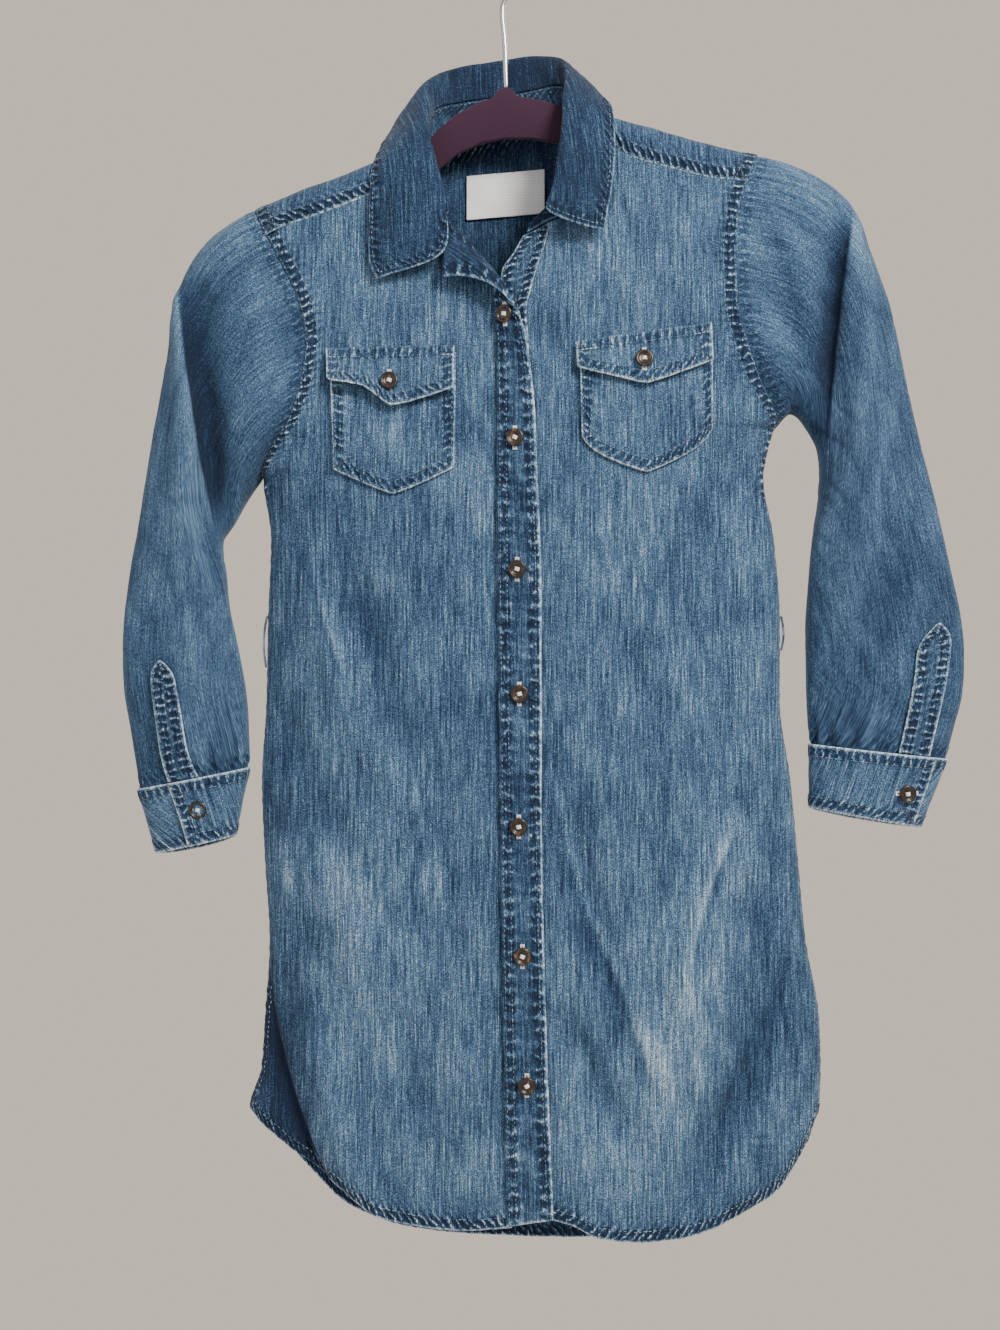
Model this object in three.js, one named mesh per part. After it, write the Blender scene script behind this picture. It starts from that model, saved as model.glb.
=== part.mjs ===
// A denim shirt dress on a slim hanger, hanging by the hanger's hook.
// Millimetres. +X is the viewer's right, -Y the front, +Z up. Right and left in names are the wearer's.
// The origin is the inner top of the hook. The dress hangs a little lower on the viewer's left.

import * as THREE from "three";

// Driving dimensions
const clothWall = 1.4;
const seamGap = 0.4;
const liftOnPanel = 0.8;
const placketWall = 1.8;
const shoulderRound = 14;
const armholeHold = 0.9;
const underarmRun = 45;
const underarmWallRise = 1.5; // how far the sleeve wall's inner skin rises there, in wall thicknesses
const underarmZ = { right: -362, left: -331 };
const hookInnerRadius = 19;
const wireDiameter = 3.3;
const hangerThickness = 4.4;
const labelWidth = 52;
const labelHeight = 30;
const cuffUnderlap = 30;
const gatherDepth = 2.2;
const labelLift = 1.4;
const buttonSize = { diameter: 11.6, thickness: 2.6, rim: 1.1 };

// Outline of the body from the front, with the bulge of the front and of the back, by height.
const bodySections = [
  { z: -110, low: -178, high: 176, front: 12, back: 12 },
  { z: -150, low: -171, high: 166, front: 14, back: 13 },
  { z: -187, low: -164, high: 153, front: 18, back: 15 },
  { z: -218, low: -149, high: 150, front: 20.5, back: 17 },
  { z: -250, low: -134, high: 151, front: 22.5, back: 19 },
  { z: -276, low: -129, high: 157, front: 24, back: 20 },
  { z: -300, low: -132, high: 165, front: 26, back: 21 },
  { z: -327, low: -140, high: 177, front: 28, back: 23 },
  { z: -344, low: -151, high: 173, front: 29, back: 24 },
  { z: -362, low: -159, high: 170, front: 30, back: 24 },
  { z: -403, low: -154, high: 177, front: 32, back: 25 },
  { z: -456, low: -156, high: 181, front: 33, back: 26 },
  { z: -509, low: -157, high: 181, front: 35, back: 27 },
  { z: -562, low: -160, high: 188, front: 37, back: 28 },
  { z: -615, low: -158, high: 193, front: 38, back: 29 },
  { z: -667, low: -155, high: 198, front: 40, back: 30 },
  { z: -720, low: -158, high: 207, front: 41, back: 31 },
  { z: -750, low: -160, high: 208, front: 41, back: 31 },
  { z: -778, low: -168, high: 207, front: 41, back: 31 },
  { z: -890, low: -168, high: 205, front: 41, back: 31 },
];

// Crest of the shoulders over the hanger; between the two neck points it only guides the neckline.
const shoulderLine = [
  { x: -190, z: -200 },
  { x: -164, z: -187 },
  { x: -135, z: -173.5 },
  { x: -109, z: -164 },
  { x: -82, z: -153 },
  { x: -62, z: -146.5 },
  { x: -40, z: -136 },
  { x: -5, z: -126 },
  { x: 28, z: -117 },
  { x: 53, z: -119.5 },
  { x: 71, z: -124.8 },
  { x: 96, z: -132 },
  { x: 129, z: -141.3 },
  { x: 166, z: -150.5 },
  { x: 190, z: -157 },
];

// Upper edge of the yoke, from the viewer's left armhole along the front seam, round the back
// neckline and along the other front seam. side is -1 in front, 0 on the crest and 1 behind.
const yokeEdge = [
  { x: -155, z: -206, side: -1 },
  { x: -145, z: -201, side: -1 },
  { x: -130, z: -196, side: -1 },
  { x: -116, z: -191, side: -1 },
  { x: -102, z: -185.5, side: -1 },
  { x: -89, z: -180, side: -1 },
  { x: -77, z: -174.5, side: -1 },
  { x: -67, z: -170, side: -1 },
  { x: -65, z: -157, side: -1 },
  { x: -62, z: -146.5, side: 0 },
  { x: -56, z: -147.5, side: 1 },
  { x: -44, z: -144, side: 1 },
  { x: -28, z: -138.5, side: 1 },
  { x: -8, z: -131.5, side: 1 },
  { x: 10, z: -126.5, side: 1 },
  { x: 26, z: -123, side: 1 },
  { x: 39, z: -121.2, side: 1 },
  { x: 48, z: -120.8, side: 1 },
  { x: 53, z: -119.5, side: 0 },
  { x: 58, z: -130, side: -1 },
  { x: 62, z: -143, side: -1 },
  { x: 72, z: -148, side: -1 },
  { x: 85, z: -155, side: -1 },
  { x: 105, z: -161, side: -1 },
  { x: 128, z: -167, side: -1 },
  { x: 142, z: -169, side: -1 },
  { x: 156, z: -170, side: -1 },
];

// Front neckline below the yoke, from the yoke seam to the centre edge.
const necklineRight = [
  { x: -67, z: -170 },
  { x: -63.5, z: -178 },
  { x: -59, z: -184.5 },
  { x: -53, z: -190.5 },
  { x: -46, z: -195 },
  { x: -38, z: -198 },
];
const necklineLeft = [
  { x: 62, z: -143 },
  { x: 62.5, z: -152 },
  { x: 61, z: -163 },
  { x: 57, z: -174 },
  { x: 51, z: -184 },
  { x: 42, z: -192 },
  { x: 29.5, z: -198 },
];

// Centre edges by height: the seam of the buttonhole strip, its free edge, and the seam of the
// button strip. roll is how far the strip stands proud, openEdge the button strip's own free edge.
const centreSeams = [
  { z: -198, seam: -37.7, underSeam: 29.1, openEdge: 17 },
  { z: -208, seam: -27.9, underSeam: 27, openEdge: 11 },
  { z: -218, seam: -18.2, underSeam: 24.2, openEdge: 5.5 },
  { z: -230, seam: -10.4, underSeam: 20, openEdge: -2.2 },
  { z: -242, seam: -7.2, underSeam: 16.6, openEdge: -3.4 },
  { z: -256, seam: -6.5, underSeam: 13.6, openEdge: -2.6 },
  { z: -274, seam: -5.2, underSeam: 14.8, openEdge: -1.6 },
  { z: -316, seam: -5.2, underSeam: 17.2, openEdge: -1.6 },
  { z: -444, seam: -4.6, underSeam: 20.8, openEdge: -1 },
  { z: -572, seam: -3.3, underSeam: 21, openEdge: 0.3 },
  { z: -700, seam: -1.4, underSeam: 23.4, openEdge: 2.2 },
  { z: -860, seam: 1.4, underSeam: 28.4, openEdge: 5 },
];

// Rows across the buttonhole strip. The turned-out top runs from its seam to the free edge through
// a roll; proud is how far the free edge stands in front of the panel.
const stripRows = [
  { seamX: -37.7, seamZ: -198.4, freeX: -40, freeZ: -236.5, rollX: 0, rollY: -5, proud: 9 },
  { seamX: -28.6, seamZ: -207.2, freeX: -28.5, freeZ: -236, rollX: 2, rollY: -6, proud: 10 },
  { seamX: -19.6, seamZ: -217, freeX: -17.6, freeZ: -238.4, rollX: 4, rollY: -7, proud: 11 },
  { seamX: -12, seamZ: -228, freeX: -9.4, freeZ: -242, rollX: 7, rollY: -8, proud: 12 },
  { seamX: -8.2, seamZ: -240, freeX: -1.2, freeZ: -248, rollX: 8, rollY: -7, proud: 11 },
  { seamX: -6.8, seamZ: -252.4, freeX: 5.7, freeZ: -255.8, rollX: 6, rollY: -5, proud: 9 },
  { seamX: -6, seamZ: -263, freeX: 10.4, freeZ: -264.5, rollX: 3, rollY: -3, proud: 6.5 },
  { seamX: -5.4, seamZ: -276, freeX: 13.8, freeZ: -276.5, rollX: 0, rollY: -1.5, proud: 4.5 },
  { seamX: -5.2, seamZ: -296, freeX: 16.4, freeZ: -296, rollX: 0, rollY: 0, proud: 3 },
  { seamX: -5.2, seamZ: -316, freeX: 18.5, freeZ: -316, rollX: 0, rollY: 0, proud: 2 },
  { seamX: -5.1, seamZ: -340, freeX: 19.6, freeZ: -340, rollX: 0, rollY: 0, proud: 1.4 },
];
const stripRun = [
  { z: -340, seam: -5.1, free: 19.6 },
  { z: -444, seam: -4.6, free: 23 },
  { z: -572, seam: -3.3, free: 23 },
  { z: -700, seam: -1.4, free: 25.4 },
  { z: -860, seam: 1.4, free: 31 },
];
const stripRunRows = 19;

// Hems as drawn from the front, side corner to centre and centre to side corner.
const hemRight = [
  { x: -168.3, z: -777.5 },
  { x: -148, z: -792 },
  { x: -123.5, z: -808.5 },
  { x: -97, z: -828 },
  { x: -82, z: -837.5 },
  { x: -61.5, z: -842.6 },
  { x: -27.6, z: -846 },
  { x: 8, z: -843.5 },
];
const hemLeft = [
  { x: 20, z: -836 },
  { x: 45, z: -843.8 },
  { x: 59, z: -850.8 },
  { x: 87, z: -854 },
  { x: 114, z: -852 },
  { x: 136, z: -846 },
  { x: 157, z: -836 },
  { x: 177, z: -825 },
  { x: 186, z: -813 },
  { x: 198.6, z: -794.5 },
  { x: 207.2, z: -779.5 },
];
const hemBack = [
  { x: -168.3, z: -777.5 },
  { x: -152, z: -797 },
  { x: -130, z: -824 },
  { x: -104, z: -849 },
  { x: -70, z: -864 },
  { x: -20, z: -871 },
  { x: 40, z: -873 },
  { x: 95, z: -869 },
  { x: 140, z: -856 },
  { x: 172, z: -834 },
  { x: 194, z: -808 },
  { x: 207.2, z: -779.5 },
];

// Soft folds. Each runs from top to bottom along a bent line through three x values; depth is
// outward, so a trough is negative.
const frontFolds = [
  { top: -377, bottom: -570, xTop: -107, xMid: -86, xBottom: -49, width: 13, depth: -6 },
  { top: -385, bottom: -565, xTop: -131, xMid: -117, xBottom: -80, width: 13, depth: 5 },
  { top: -498, bottom: -610, xTop: -142, xMid: -131, xBottom: -102, width: 12, depth: -6 },
  { top: -600, bottom: -712, xTop: -131, xMid: -99, xBottom: -66, width: 18, depth: 6 },
  { top: -676, bottom: -850, xTop: -149, xMid: -139, xBottom: -98, width: 11, depth: -13 },
  { top: -676, bottom: -862, xTop: -131, xMid: -114, xBottom: -72, width: 14, depth: 7 },
  { top: -572, bottom: -766, xTop: 39, xMid: 61, xBottom: 93, width: 12, depth: -8 },
  { top: -700, bottom: -805, xTop: 34, xMid: 57, xBottom: 90, width: 11, depth: -7 },
  { top: -632, bottom: -775, xTop: 48, xMid: 76, xBottom: 108, width: 11, depth: 5 },
  { top: -580, bottom: -775, xTop: 155, xMid: 123, xBottom: 125, width: 18, depth: 8 },
  { top: -672, bottom: -825, xTop: 184, xMid: 158, xBottom: 125, width: 13, depth: -7 },
  { top: -330, bottom: -445, xTop: 160, xMid: 125, xBottom: 88, width: 12, depth: -4 },
];
const backFolds = [
  { top: -300, bottom: -620, xTop: -70, xMid: -84, xBottom: -96, width: 17, depth: 6 },
  { top: -330, bottom: -700, xTop: -28, xMid: -38, xBottom: -52, width: 15, depth: -6 },
  { top: -420, bottom: -890, xTop: 10, xMid: 4, xBottom: -8, width: 20, depth: 6 },
  { top: -310, bottom: -640, xTop: 62, xMid: 74, xBottom: 92, width: 16, depth: -6 },
  { top: -380, bottom: -760, xTop: 112, xMid: 122, xBottom: 134, width: 17, depth: 6 },
  { top: -640, bottom: -880, xTop: -112, xMid: -118, xBottom: -104, width: 15, depth: -6 },
  { top: -660, bottom: -890, xTop: 62, xMid: 74, xBottom: 84, width: 16, depth: -5 },
];

// Sleeves: each ring runs from the outer line of the sleeve to its inner line. The first ring is the
// armhole and the last meets the cuff.
const sleeveRingsRight = [
  { outX: -164, outZ: -187, inX: -159, inZ: -362, depth: 18 },
  { outX: -180, outZ: -195, inX: -163, inZ: -368, depth: 20 },
  { outX: -195, outZ: -206, inX: -168, inZ: -375, depth: 22 },
  { outX: -208, outZ: -224, inX: -173, inZ: -383, depth: 24 },
  { outX: -217, outZ: -245, inX: -178, inZ: -391, depth: 24 },
  { outX: -221, outZ: -275, inX: -182, inZ: -398, depth: 23 },
  { outX: -226, outZ: -308, inX: -185.5, inZ: -405, depth: 22 },
  { outX: -234, outZ: -347, inX: -186, inZ: -415, depth: 21 },
  { outX: -241, outZ: -389, inX: -184, inZ: -430, depth: 20 },
  { outX: -248, outZ: -430, inX: -181.5, inZ: -449, depth: 19 },
  { outX: -251.5, outZ: -466, inX: -176, inZ: -475, depth: 19 },
  { outX: -251, outZ: -499, inX: -171, inZ: -502, depth: 19 },
  { outX: -246, outZ: -532, inX: -169, inZ: -527, depth: 18 },
  { outX: -241, outZ: -567, inX: -169.5, inZ: -553, depth: 15 },
];
const sleeveRingsLeft = [
  { outX: 165.7, outZ: -150.5, inX: 179, inZ: -331, depth: 18 },
  { outX: 188, outZ: -156.5, inX: 185, inZ: -324, depth: 20 },
  { outX: 209, outZ: -166.5, inX: 189, inZ: -320.5, depth: 22 },
  { outX: 226.5, outZ: -181.5, inX: 193.5, inZ: -322.5, depth: 24 },
  { outX: 237, outZ: -201.5, inX: 198, inZ: -328, depth: 25 },
  { outX: 244, outZ: -223.5, inX: 202.5, inZ: -336, depth: 25 },
  { outX: 252, outZ: -248, inX: 206, inZ: -346, depth: 24 },
  { outX: 258.5, outZ: -272.5, inX: 208, inZ: -360.5, depth: 24 },
  { outX: 265.5, outZ: -303, inX: 207, inZ: -380, depth: 23 },
  { outX: 273, outZ: -338.5, inX: 203, inZ: -402, depth: 22 },
  { outX: 284.5, outZ: -383.5, inX: 200.5, inZ: -429.5, depth: 21 },
  { outX: 293.5, outZ: -423, inX: 198.5, inZ: -459.5, depth: 21 },
  { outX: 301.5, outZ: -464, inX: 198.5, inZ: -487.5, depth: 20 },
  { outX: 301.5, outZ: -505.5, inX: 200, inZ: -514, depth: 19 },
  { outX: 290.5, outZ: -547.2, inX: 202, inZ: -537.6, depth: 16 },
];
const sleeveFoldsRight = [
  { top: -226, bottom: -412, xTop: -204, xMid: -194, xBottom: -187, width: 8, depth: -12 },
  { top: -226, bottom: -470, xTop: -214, xMid: -211, xBottom: -214, width: 10, depth: 4 },
  { top: -215, bottom: -330, xTop: -180, xMid: -168, xBottom: -160, width: 10, depth: -4 },
];
const sleeveFoldsLeft = [
  { top: -180, bottom: -350, xTop: 221, xMid: 214, xBottom: 209, width: 8, depth: -12 },
  { top: -190, bottom: -440, xTop: 236, xMid: 233, xBottom: 228, width: 11, depth: 5 },
  { top: -190, bottom: -300, xTop: 178, xMid: 188, xBottom: 193, width: 10, depth: -4 },
  { top: -395, bottom: -520, xTop: 246, xMid: 250, xBottom: 244, width: 11, depth: -4 },
];

// Cuffs: top and bottom edges from the outer to the inner end, and how far round the overlap lies.
const cuffRight = {
  top: { outX: -241, outZ: -567.5, inX: -169.5, inZ: -553.5 },
  bottom: { outX: -229, outZ: -609, inX: -179.5, inZ: -598 },
  depth: 14.2,
  openTop: 68,
  openBottom: 86,
  button: { turn: 98, down: 0.5 },
  backDrop: 4,
};
const cuffLeft = {
  top: { outX: 290.5, outZ: -547.7, inX: 202, inZ: -538.1 },
  bottom: { outX: 273, outZ: -592, inX: 202, inZ: -579.5 },
  depth: 15.2,
  openTop: 42,
  openBottom: 42,
  button: { turn: 62, down: 0.55 },
  backDrop: 3,
};

// Pointed sleeve plackets by ring, from near the outer line to far from it.
const towerRight = [
  { ring: 10.45, near: 0.345, far: 0.375 },
  { ring: 10.75, near: 0.275, far: 0.46 },
  { ring: 11.5, near: 0.265, far: 0.485 },
  { ring: 12.3, near: 0.265, far: 0.5 },
  { ring: 12.96, near: 0.31, far: 0.58 },
];
const towerLeft = [
  { ring: 11.76, near: 0.165, far: 0.195 },
  { ring: 12.05, near: 0.115, far: 0.32 },
  { ring: 12.6, near: 0.145, far: 0.36 },
  { ring: 13.2, near: 0.17, far: 0.385 },
  { ring: 13.96, near: 0.16, far: 0.39 },
];

// Chest pockets and flaps: corners as seen from the front, the depth of the point below them.
const pocketRight = {
  topOut: { x: -113, z: -286 },
  topIn: { x: -32, z: -284 },
  lowOut: { x: -109.5, z: -359.6 },
  lowIn: { x: -33, z: -359 },
  point: 16.4,
};
const pocketLeft = {
  topOut: { x: 134, z: -270 },
  topIn: { x: 48.5, z: -282 },
  lowOut: { x: 132, z: -341 },
  lowIn: { x: 49, z: -346 },
  point: 18,
};
const flapRight = {
  topOut: { x: -115, z: -282 },
  topIn: { x: -33, z: -280 },
  lowOut: { x: -113.5, z: -300 },
  lowIn: { x: -33, z: -308 },
  point: 16,
  curl: 4,
  button: { x: -74.6, z: -304 },
};
const flapLeft = {
  topOut: { x: 132.7, z: -265 },
  topIn: { x: 46.2, z: -277.5 },
  lowOut: { x: 133.6, z: -289.5 },
  lowIn: { x: 46.2, z: -294 },
  point: 13,
  curl: 2,
  button: { x: 89.9, z: -289 },
};

const frontButtons = [
  { x: -0.1, z: -260 },
  { x: 6.3, z: -340 },
  { x: 7.6, z: -424 },
  { x: 8.8, z: -505.5 },
  { x: 8.8, z: -588 },
  { x: 11.3, z: -672 },
  { x: 13.9, z: -752 },
];

// Collar stand: its seam on the neckline and its top, from the viewer's left front round the back.
const standStations = [
  { footX: -39, footZ: -198, side: -1, topX: -38.5, topY: -27, topZ: -197 },
  { footX: -53, footZ: -190.5, side: -1, topX: -43, topY: -26, topZ: -187 },
  { footX: -63.5, footZ: -178, side: -1, topX: -48, topY: -20, topZ: -166 },
  { footX: -65.5, footZ: -160, side: -1, topX: -51, topY: -10, topZ: -140 },
  { footX: -62, footZ: -146.5, side: 1, topX: -49.5, topY: 6, topZ: -121 },
  { footX: -54, footZ: -147.4, side: 1, topX: -44, topY: 22, topZ: -111 },
  { footX: -38, footZ: -142, side: 1, topX: -27, topY: 33, topZ: -104 },
  { footX: -8, footZ: -131.5, side: 1, topX: -5, topY: 37, topZ: -99.5 },
  { footX: 22, footZ: -123.8, side: 1, topX: 19, topY: 34, topZ: -96 },
  { footX: 42, footZ: -121.2, side: 1, topX: 35, topY: 25, topZ: -95.5 },
  { footX: 53, footZ: -119.5, side: 1, topX: 42.5, topY: 10, topZ: -103 },
  { footX: 59, footZ: -133, side: -1, topX: 42, topY: -6, topZ: -118 },
  { footX: 62.3, footZ: -148, side: -1, topX: 41, topY: -14.5, topZ: -137 },
  { footX: 61, footZ: -163, side: -1, topX: 38.5, topY: -20.5, topZ: -157 },
  { footX: 52, footZ: -182.5, side: -1, topX: 34.5, topY: -24, topZ: -178 },
  { footX: 39, footZ: -193.5, side: -1, topX: 30, topY: -24, topZ: -188 },
  { footX: 29.5, footZ: -198, side: -1, topX: 25.5, topY: -21, topZ: -190.5 },
  { footX: 14, footZ: -206.5, side: -1, topX: 15.5, topY: -18.5, topZ: -199.5 },
];

// Collar fall: from the stand over the roll and down to its edge, in the same order.
const fallSeams = [
  { x: -38, y: -28.5, z: -196.5 },
  { x: -41.5, y: -27, z: -186.5 },
  { x: -46.5, y: -21, z: -165.5 },
  { x: -50.5, y: -11, z: -138.5 },
  { x: -49, y: 6, z: -119.5 },
  { x: -43.5, y: 22.5, z: -109.5 },
  { x: -26.5, y: 34, z: -102.5 },
  { x: -5, y: 38, z: -98 },
  { x: 19.5, y: 35, z: -94.5 },
  { x: 35.5, y: 26, z: -94 },
  { x: 41.5, y: 11, z: -101.5 },
  { x: 41, y: -6, z: -116.5 },
  { x: 40, y: -15.5, z: -135.5 },
  { x: 37.5, y: -22, z: -155.5 },
  { x: 33.5, y: -26, z: -176 },
  { x: 29, y: -26, z: -186.5 },
];
const fallRolls = [
  { x: -37, y: -34, z: -199 },
  { x: -39, y: -31, z: -186 },
  { x: -44, y: -26, z: -164 },
  { x: -51, y: -18, z: -138 },
  { x: -52, y: -4, z: -119 },
  { x: -52, y: 15, z: -98 },
  { x: -39, y: 36, z: -82 },
  { x: -5, y: 43, z: -73 },
  { x: 24, y: 41, z: -70 },
  { x: 38, y: 30, z: -76 },
  { x: 41.5, y: 8, z: -92 },
  { x: 38.5, y: -11, z: -113 },
  { x: 37.5, y: -21, z: -134 },
  { x: 35, y: -27, z: -155 },
  { x: 31, y: -31, z: -178 },
  { x: 27.5, y: -33, z: -194 },
];
const fallMiddles = [
  { x: -39.5, y: -34, z: -220.5 },
  { x: -61, y: -34, z: -207 },
  { x: -67, y: -30, z: -182 },
  { x: -74, y: -22, z: -156 },
  { x: -70, y: -2, z: -130 },
  { x: -63, y: 18, z: -107 },
  { x: -46, y: 43, z: -86 },
  { x: -6, y: 51, z: -75 },
  { x: 28, y: 48, z: -73 },
  { x: 48, y: 35, z: -86 },
  { x: 57, y: 13, z: -98 },
  { x: 56, y: -12, z: -119 },
  { x: 54, y: -25, z: -143 },
  { x: 52, y: -31, z: -163 },
  { x: 48, y: -34, z: -184 },
  { x: 43.5, y: -34.5, z: -202 },
];
const fallEdges = [
  { x: -82.5, y: -27, z: -236.8 },
  { x: -87, y: -26, z: -226 },
  { x: -87.8, y: -23, z: -200 },
  { x: -87, y: -20, z: -172 },
  { x: -84, y: -4, z: -150 },
  { x: -76, y: 19, z: -134 },
  { x: -50, y: 34, z: -131 },
  { x: -8, y: 40, z: -125 },
  { x: 32, y: 37, z: -119 },
  { x: 56, y: 26, z: -115 },
  { x: 67.5, y: 11, z: -112 },
  { x: 70.5, y: -17, z: -130 },
  { x: 71, y: -23, z: -152 },
  { x: 69.5, y: -25, z: -171 },
  { x: 66.5, y: -28, z: -189 },
  { x: 63.3, y: -29, z: -206 },
];

// Hanger seen from the front: its upper and lower edges from the viewer's left end to the right.
const hangerUpper = [
  { x: -158, z: -192 },
  { x: -135, z: -178.5 },
  { x: -109, z: -168.5 },
  { x: -82, z: -158 },
  { x: -64, z: -151.4 },
  { x: -52, z: -142 },
  { x: -44, z: -132.5 },
  { x: -32, z: -122.5 },
  { x: -19, z: -115.8 },
  { x: -8, z: -111.4 },
  { x: -4, z: -106 },
  { x: 0.7, z: -104.6 },
  { x: 5, z: -106.5 },
  { x: 8.5, z: -111 },
  { x: 22, z: -113 },
  { x: 38, z: -117.5 },
  { x: 53, z: -127 },
  { x: 71, z: -130.6 },
  { x: 96, z: -136.8 },
  { x: 129, z: -146 },
  { x: 160, z: -154.2 },
];
const hangerLower = [
  { x: 161, z: -160 },
  { x: 129, z: -157 },
  { x: 96, z: -152.5 },
  { x: 71, z: -149 },
  { x: 36, z: -142 },
  { x: 18, z: -138.6 },
  { x: 0, z: -138.6 },
  { x: -15, z: -141.3 },
  { x: -32, z: -149 },
  { x: -48, z: -163 },
  { x: -66, z: -172 },
  { x: -82, z: -178 },
  { x: -109, z: -186.5 },
  { x: -135, z: -194 },
  { x: -157, z: -199.5 },
];

const colours = {
  denim: 0x47698c,
  denimInside: 0x32465f,
  denimSeam: 0x3c5c7f,
  label: 0xd8dade,
  button: 0x4a3527,
  velvet: 0x4c2440,
  chrome: 0xc8cacc,
};

function paint(colour, roughness, metalness) {
  return new THREE.MeshStandardMaterial({ color: colour, roughness, metalness });
}

const paints = {
  denim: paint(colours.denim, 0.9, 0),
  denimSeam: paint(colours.denimSeam, 0.9, 0),
  label: paint(colours.label, 0.7, 0),
  button: paint(colours.button, 0.3, 0),
  velvet: paint(colours.velvet, 0.95, 0),
  chrome: paint(colours.chrome, 0.15, 1),
};

const dress = new THREE.Group();

function addPiece(name, geometry, material) {
  const piece = new THREE.Mesh(geometry, material);
  piece.name = name;
  dress.add(piece);
  return piece;
}

function clamp(value, low, high) {
  return Math.min(high, Math.max(low, value));
}

function mix(a, b, t) {
  return a + (b - a) * t;
}

function smooth(t) {
  const c = clamp(t, 0, 1);
  return c * c * (3 - 2 * c);
}

// A smooth curve through a table's column that never overshoots its rows.
function follow(rows, along, key, at) {
  const rising = rows[rows.length - 1][along] > rows[0][along];
  const last = rows.length - 1;
  let i = 0;
  while (i < last - 1 && (rising ? at > rows[i + 1][along] : at < rows[i + 1][along])) {
    i += 1;
  }
  const step = (k) => rows[k + 1][along] - rows[k][along];
  const slope = (k) => (rows[k + 1][key] - rows[k][key]) / step(k);
  const tangent = (k) => {
    if (k === 0) return slope(0);
    if (k === last) return slope(last - 1);
    const before = slope(k - 1);
    const after = slope(k);
    return before * after <= 0 ? 0 : (2 * before * after) / (before + after);
  };
  const h = step(i);
  const t = clamp((at - rows[i][along]) / h, 0, 1);
  const t2 = t * t;
  const t3 = t2 * t;
  return (
    (2 * t3 - 3 * t2 + 1) * rows[i][key] +
    (t3 - 2 * t2 + t) * h * tangent(i) +
    (3 * t2 - 2 * t3) * rows[i + 1][key] +
    (t3 - t2) * h * tangent(i + 1)
  );
}

// A value between the rows of a table that is read by row number.
function between(rows, key, place) {
  const p = clamp(place, 0, rows.length - 1);
  const i = Math.min(Math.floor(p), rows.length - 2);
  const a = rows[Math.max(i - 1, 0)][key];
  const b = rows[i][key];
  const c = rows[i + 1][key];
  const d = rows[Math.min(i + 2, rows.length - 1)][key];
  const t = p - i;
  const bend = 2 * b - 2 * c + (c - a) / 2 + (d - b) / 2;
  const lean = -3 * b + 3 * c - (c - a) - (d - b) / 2;
  return ((bend * t + lean) * t + (c - a) / 2) * t + b;
}

function foldHeight(folds, x, z) {
  let height = 0;
  for (const fold of folds) {
    const t = (fold.top - z) / (fold.top - fold.bottom);
    if (t > 0 && t < 1) {
      const bend = 2 * (fold.xTop + fold.xBottom - 2 * fold.xMid);
      const centre = fold.xTop + t * (fold.xBottom - fold.xTop) + bend * t * (t - 1);
      const run = (fold.xBottom - fold.xTop + bend * (2 * t - 1)) / (fold.bottom - fold.top);
      const away = (x - centre) / Math.sqrt(1 + run * run) / fold.width;
      height += fold.depth * Math.exp(-away * away) * Math.sin(Math.PI * t) ** 0.7;
    }
  }
  return height;
}

// Body surfaces. side is -1 for the front and 1 for the back; inset moves the point into the wall.
function bodyMiddle(z) {
  return (follow(bodySections, "z", "high", z) + follow(bodySections, "z", "low", z)) / 2;
}

function bodyHalf(z) {
  return (follow(bodySections, "z", "high", z) - follow(bodySections, "z", "low", z)) / 2;
}

function acrossOf(x, z) {
  return clamp((x - bodyMiddle(z)) / bodyHalf(z), -1, 1);
}

function crestZ(x) {
  return follow(shoulderLine, "x", "z", x);
}

function neckShare(x) {
  const leftPoint = -62;
  const rightPoint = 53;
  return smooth((x - leftPoint) / 26) * smooth((rightPoint - x) / 26);
}

function bodyPoint(side, across, z, inset) {
  const x = bodyMiddle(z) + across * bodyHalf(z);
  const underarm = across < 0 ? underarmZ.right : underarmZ.left;
  const hold = armholeHold * Math.sqrt(clamp((z - underarm) / underarmRun, 0, 1));
  const fullness = mix(2.4, 6, smooth((z - underarm + 110) / 190));
  const round = Math.sqrt(1 - Math.abs(across) ** fullness);
  const drop = Math.max(crestZ(x) - z, 0);
  const lean = Math.max(1 - drop / shoulderRound, 0);
  const neck = neckShare(x);
  const crest = mix(Math.sqrt(1 - lean * lean), 1, neck);
  const swell = side > 0 ? 13 * neck * Math.exp(-(((z + 135) / 60) ** 2)) : 0;
  const depth = follow(bodySections, "z", side > 0 ? "back" : "front", z) + swell - inset;
  const folds = side > 0 ? backFolds : frontFolds;
  const bulge = depth * (hold + (1 - hold) * round) * crest;
  const y = side * (seamGap / 2 + bulge + foldHeight(folds, x, z) * round);
  const inward = inset * across * (1 - hold) * (1 - neck);
  return new THREE.Vector3(x - inward, y, z - inset * lean * (1 - neck));
}

function bodyPointAt(side, x, z, inset) {
  return bodyPoint(side, acrossOf(x, z), z, inset);
}

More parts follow.
